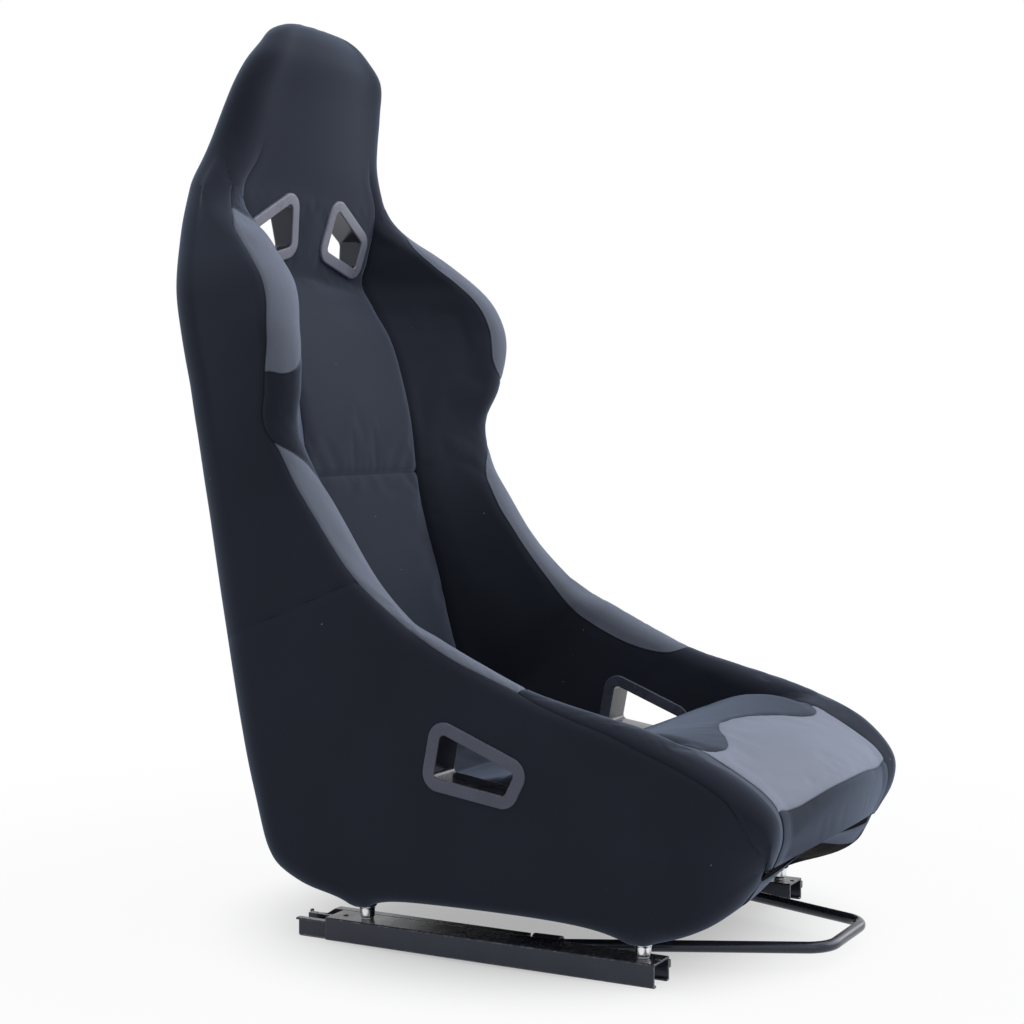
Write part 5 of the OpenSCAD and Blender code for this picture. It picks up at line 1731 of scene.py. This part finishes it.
@dataclass
class LatchSprings:
    """Coiled return springs with a hook at each end, beside the rails."""

    wire: float = 1.5
    coil_r: float = 3.6
    curls: int = 8
    curl_steps: int = 24
    front_pin: tuple[float, float] = (-51.0, 7.0)
    rear_pin: tuple[float, float] = (172.0, 13.0)
    hook_f: float = 3.25
    hook_r: float = 2.8
    coil: tuple[float, float] = (90.0, 162.0)
    plane_x: float = 148.0

    def middle_line(self) -> Array:
        """Middle line of a spring in mm, X from its plane."""
        z_mid = self.rear_pin[1] + self.hook_r - self.coil_r
        fy, fz = self.front_pin
        pts = [(0, fy - self.hook_f * math.sin(math.radians(a)),
                fz - self.hook_f * math.cos(math.radians(a))) for a in range(20, 181, 10)]
        start = (fy + 6, fz + self.hook_f)
        stop = (self.coil[0] - 6, z_mid + self.coil_r)
        pts += [(0, start[0] + (stop[0] - start[0]) * k, start[1] + (stop[1] - start[1]) * k)
                for k in np.linspace(0, 1, 8)]
        low, high = self.coil
        steps = self.curls * self.curl_steps
        for k in range(steps + 1):
            angle = 2 * math.pi * k / self.curl_steps
            pts.append((self.coil_r * math.sin(angle), low + (high - low) * k / steps,
                        z_mid + self.coil_r * math.cos(angle)))
        pts += [(0, self.rear_pin[0] + self.hook_r * math.sin(math.radians(a)),
                 self.rear_pin[1] + self.hook_r * math.cos(math.radians(a))) for a in range(0, 201, 10)]
        return np.array(pts)

    def build(self, rack: FinishRack) -> None:
        """Build both springs."""
        line = self.middle_line()
        for side in Side:
            path = (line + [self.plane_x, 0, 0]) * [side.value, 1, 1] * MM
            piece = RoundBar(self.wire * MM, 10).build(f"return_spring_{side.word}", path)
            dress(piece, rack.spring)
            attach(piece, Body.SEAT.value)
            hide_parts(f"latch_spring_{side.word}")
        LOG.info("return springs: 2")


@dataclass
class Metalwork:
    """Rails, levers and the other hard pieces that keep the CAD's own meshes."""

    rivet_ys: tuple[float, float] = (-207.5, 126.0)
    rail_x: float = 172.0

    def dress_nodes(self, rack: FinishRack) -> None:
        """Give each kept node its finish."""
        finishes = {
            "seat_inserts": rack.zinc, "seat_bolts": rack.zinc,
            "upper_rail": rack.steel, "lower_rail": rack.steel, "rail_glides": rack.glide,
            "roller_cage": rack.zinc, "roller_front": rack.spring, "roller_rear": rack.spring,
            "latch_bracket": rack.steel, "pivot_pins": rack.zinc, "latch_lever": rack.lever}
        for name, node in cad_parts.items():
            for start, finish in finishes.items():
                if name.startswith(start):
                    for place in node.material_slots:
                        place.material = finish
        LOG.info("kept nodes dressed")

    def build(self, rack: FinishRack) -> None:
        """Dress the kept nodes and add the rails' rivets."""
        self.dress_nodes(rack)
        dome = ((0.02, 0.9), (1.2, 0.85), (2.1, 0.6), (2.7, 0.2), (2.8, 0.0), (0.02, 0.0))
        points, faces = turned(dome, [(x, y, RAIL_TOP - 0.05) for x in (-self.rail_x, self.rail_x)
                                      for y in self.rivet_ys], 24)
        piece = mesh_object("rail_rivets", points, faces)
        dress(piece, rack.steel)
        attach(piece, Body.SEAT.value)
        LOG.info("rail rivets: 4")


# ---- Studio -------------------------------------------------------------------------------


@dataclass
class Studio:
    """Pale floor, soft light and the camera."""

    lamps: tuple[tuple[str, Place, float, float], ...] = (
        ("overhead", (0.0, -0.3, 2.9), 3.2, 42.0),
        ("front_key", (1.6, -3.0, 2.1), 2.5, 58.0),
        ("side_key", (2.8, -1.6, 1.4), 1.8, 26.0),
        ("front_fill", (-2.6, -2.4, 1.7), 2.2, 11.0))
    aim: Place = (0.0, 0.0, 0.4)
    half_floor: float = 9.0
    floor_z: float = -0.0004
    azimuth: float = -61.63
    down: float = 2.89
    lens: float = 70.02
    eye: Place = (-1.7888, -0.9316, 0.5161)

    def floor(self) -> None:
        """Lay the floor, which fades to white away from the seat."""
        material, g, shader = finish_tree("pale floor")
        shader.inputs["Base Color"].default_value = (0.62, 0.62, 0.63, 1.0)
        shader.inputs["Roughness"].default_value = 0.9
        glow = g.add("ShaderNodeEmission")
        glow.inputs["Strength"].default_value = 1.0
        path = g.add("ShaderNodeLightPath")
        seen = g.math("ADD", path.outputs["Is Camera Ray"], path.outputs["Is Glossy Ray"], clamp=True)
        far = g.add("ShaderNodeVectorMath", operation="LENGTH")
        g.feed(far.inputs[0], g.place())
        near = g.range(far.outputs["Value"], 0.14, 0.36, 0.40, 0.93)
        beyond = g.range(far.outputs["Value"], 0.40, 1.2, 0.0, 0.07)
        share = g.math("MULTIPLY", seen, g.math("ADD", near, beyond))
        out = material.node_tree.nodes["Material Output"]
        g.feed(out.inputs["Surface"], g.between(share, shader, glow))
        corners = np.array([(-1.0, -1.0), (1.0, -1.0), (1.0, 1.0), (-1.0, 1.0)]) * self.half_floor
        points = np.column_stack([corners, np.full(4, self.floor_z)])
        floor = mesh_object("studio_floor", points, [(0, 1, 2, 3)])
        dress(floor, material)

    def light(self) -> None:
        """Set key lamps in front of the seat, soft ones above and beside it, and an even sky."""
        for name, place, size, power in self.lamps:
            lamp = bpy.data.lights.new(name, "AREA")
            lamp.size = size
            lamp.energy = power
            stand = bpy.data.objects.new(name, lamp)
            stand.location = place
            stand.rotation_euler = (Vector(self.aim) - Vector(place)).to_track_quat("-Z", "Y").to_euler()
            bpy.context.scene.collection.objects.link(stand)
        world = bpy.data.worlds.new("studio")
        world.use_nodes = True
        g = Graph(world.node_tree)
        sky = world.node_tree.nodes["Background"]
        sky.inputs["Color"].default_value = (0.96, 0.98, 1.0, 1.0)
        sky.inputs["Strength"].default_value = 0.42
        plain = g.add("ShaderNodeBackground")
        plain.inputs["Color"].default_value = (1.0, 1.0, 1.0, 1.0)
        plain.inputs["Strength"].default_value = 1.0
        path = g.add("ShaderNodeLightPath")
        bright = g.math("ADD", path.outputs["Is Glossy Ray"], path.outputs["Is Transmission Ray"])
        seen = g.math("ADD", path.outputs["Is Camera Ray"], bright, clamp=True)
        g.feed(world.node_tree.nodes["World Output"].inputs["Surface"], g.between(seen, sky, plain))
        bpy.context.scene.world = world

    def camera(self) -> None:
        """Set the camera at the seat's side, a little above its middle."""
        lens = bpy.data.cameras.new("view")
        lens.lens = self.lens
        lens.sensor_width = 36.0
        lens.clip_end = 60.0
        stand = bpy.data.objects.new("view", lens)
        a, e = math.radians(self.azimuth), math.radians(self.down)
        back = Vector((math.sin(a) * math.cos(e), -math.cos(a) * math.cos(e), math.sin(e)))
        stand.location = self.eye
        stand.rotation_euler = back.to_track_quat("Z", "Y").to_euler()
        bpy.context.scene.collection.objects.link(stand)
        bpy.context.scene.camera = stand

    def build(self) -> None:
        """Set up everything round the seat."""
        bpy.context.scene.view_settings.view_transform = "Standard"
        self.camera()
        self.light()
        self.floor()
        LOG.info("studio ready")


def main() -> None:
    """Build the studio and the seat's sub-assemblies in order."""
    logging.basicConfig(level=logging.INFO, format="%(message)s")
    Studio().build()
    rack = FinishRack.build()
    for group in (WingCovers(), PanelPads(), HeadCover(), RearCover(), Underside(), SlotBezels(),
                  Fixings(), Handle(), LatchSprings(), Metalwork()):
        group.build(rack)


if __name__ == "__main__":
    main()
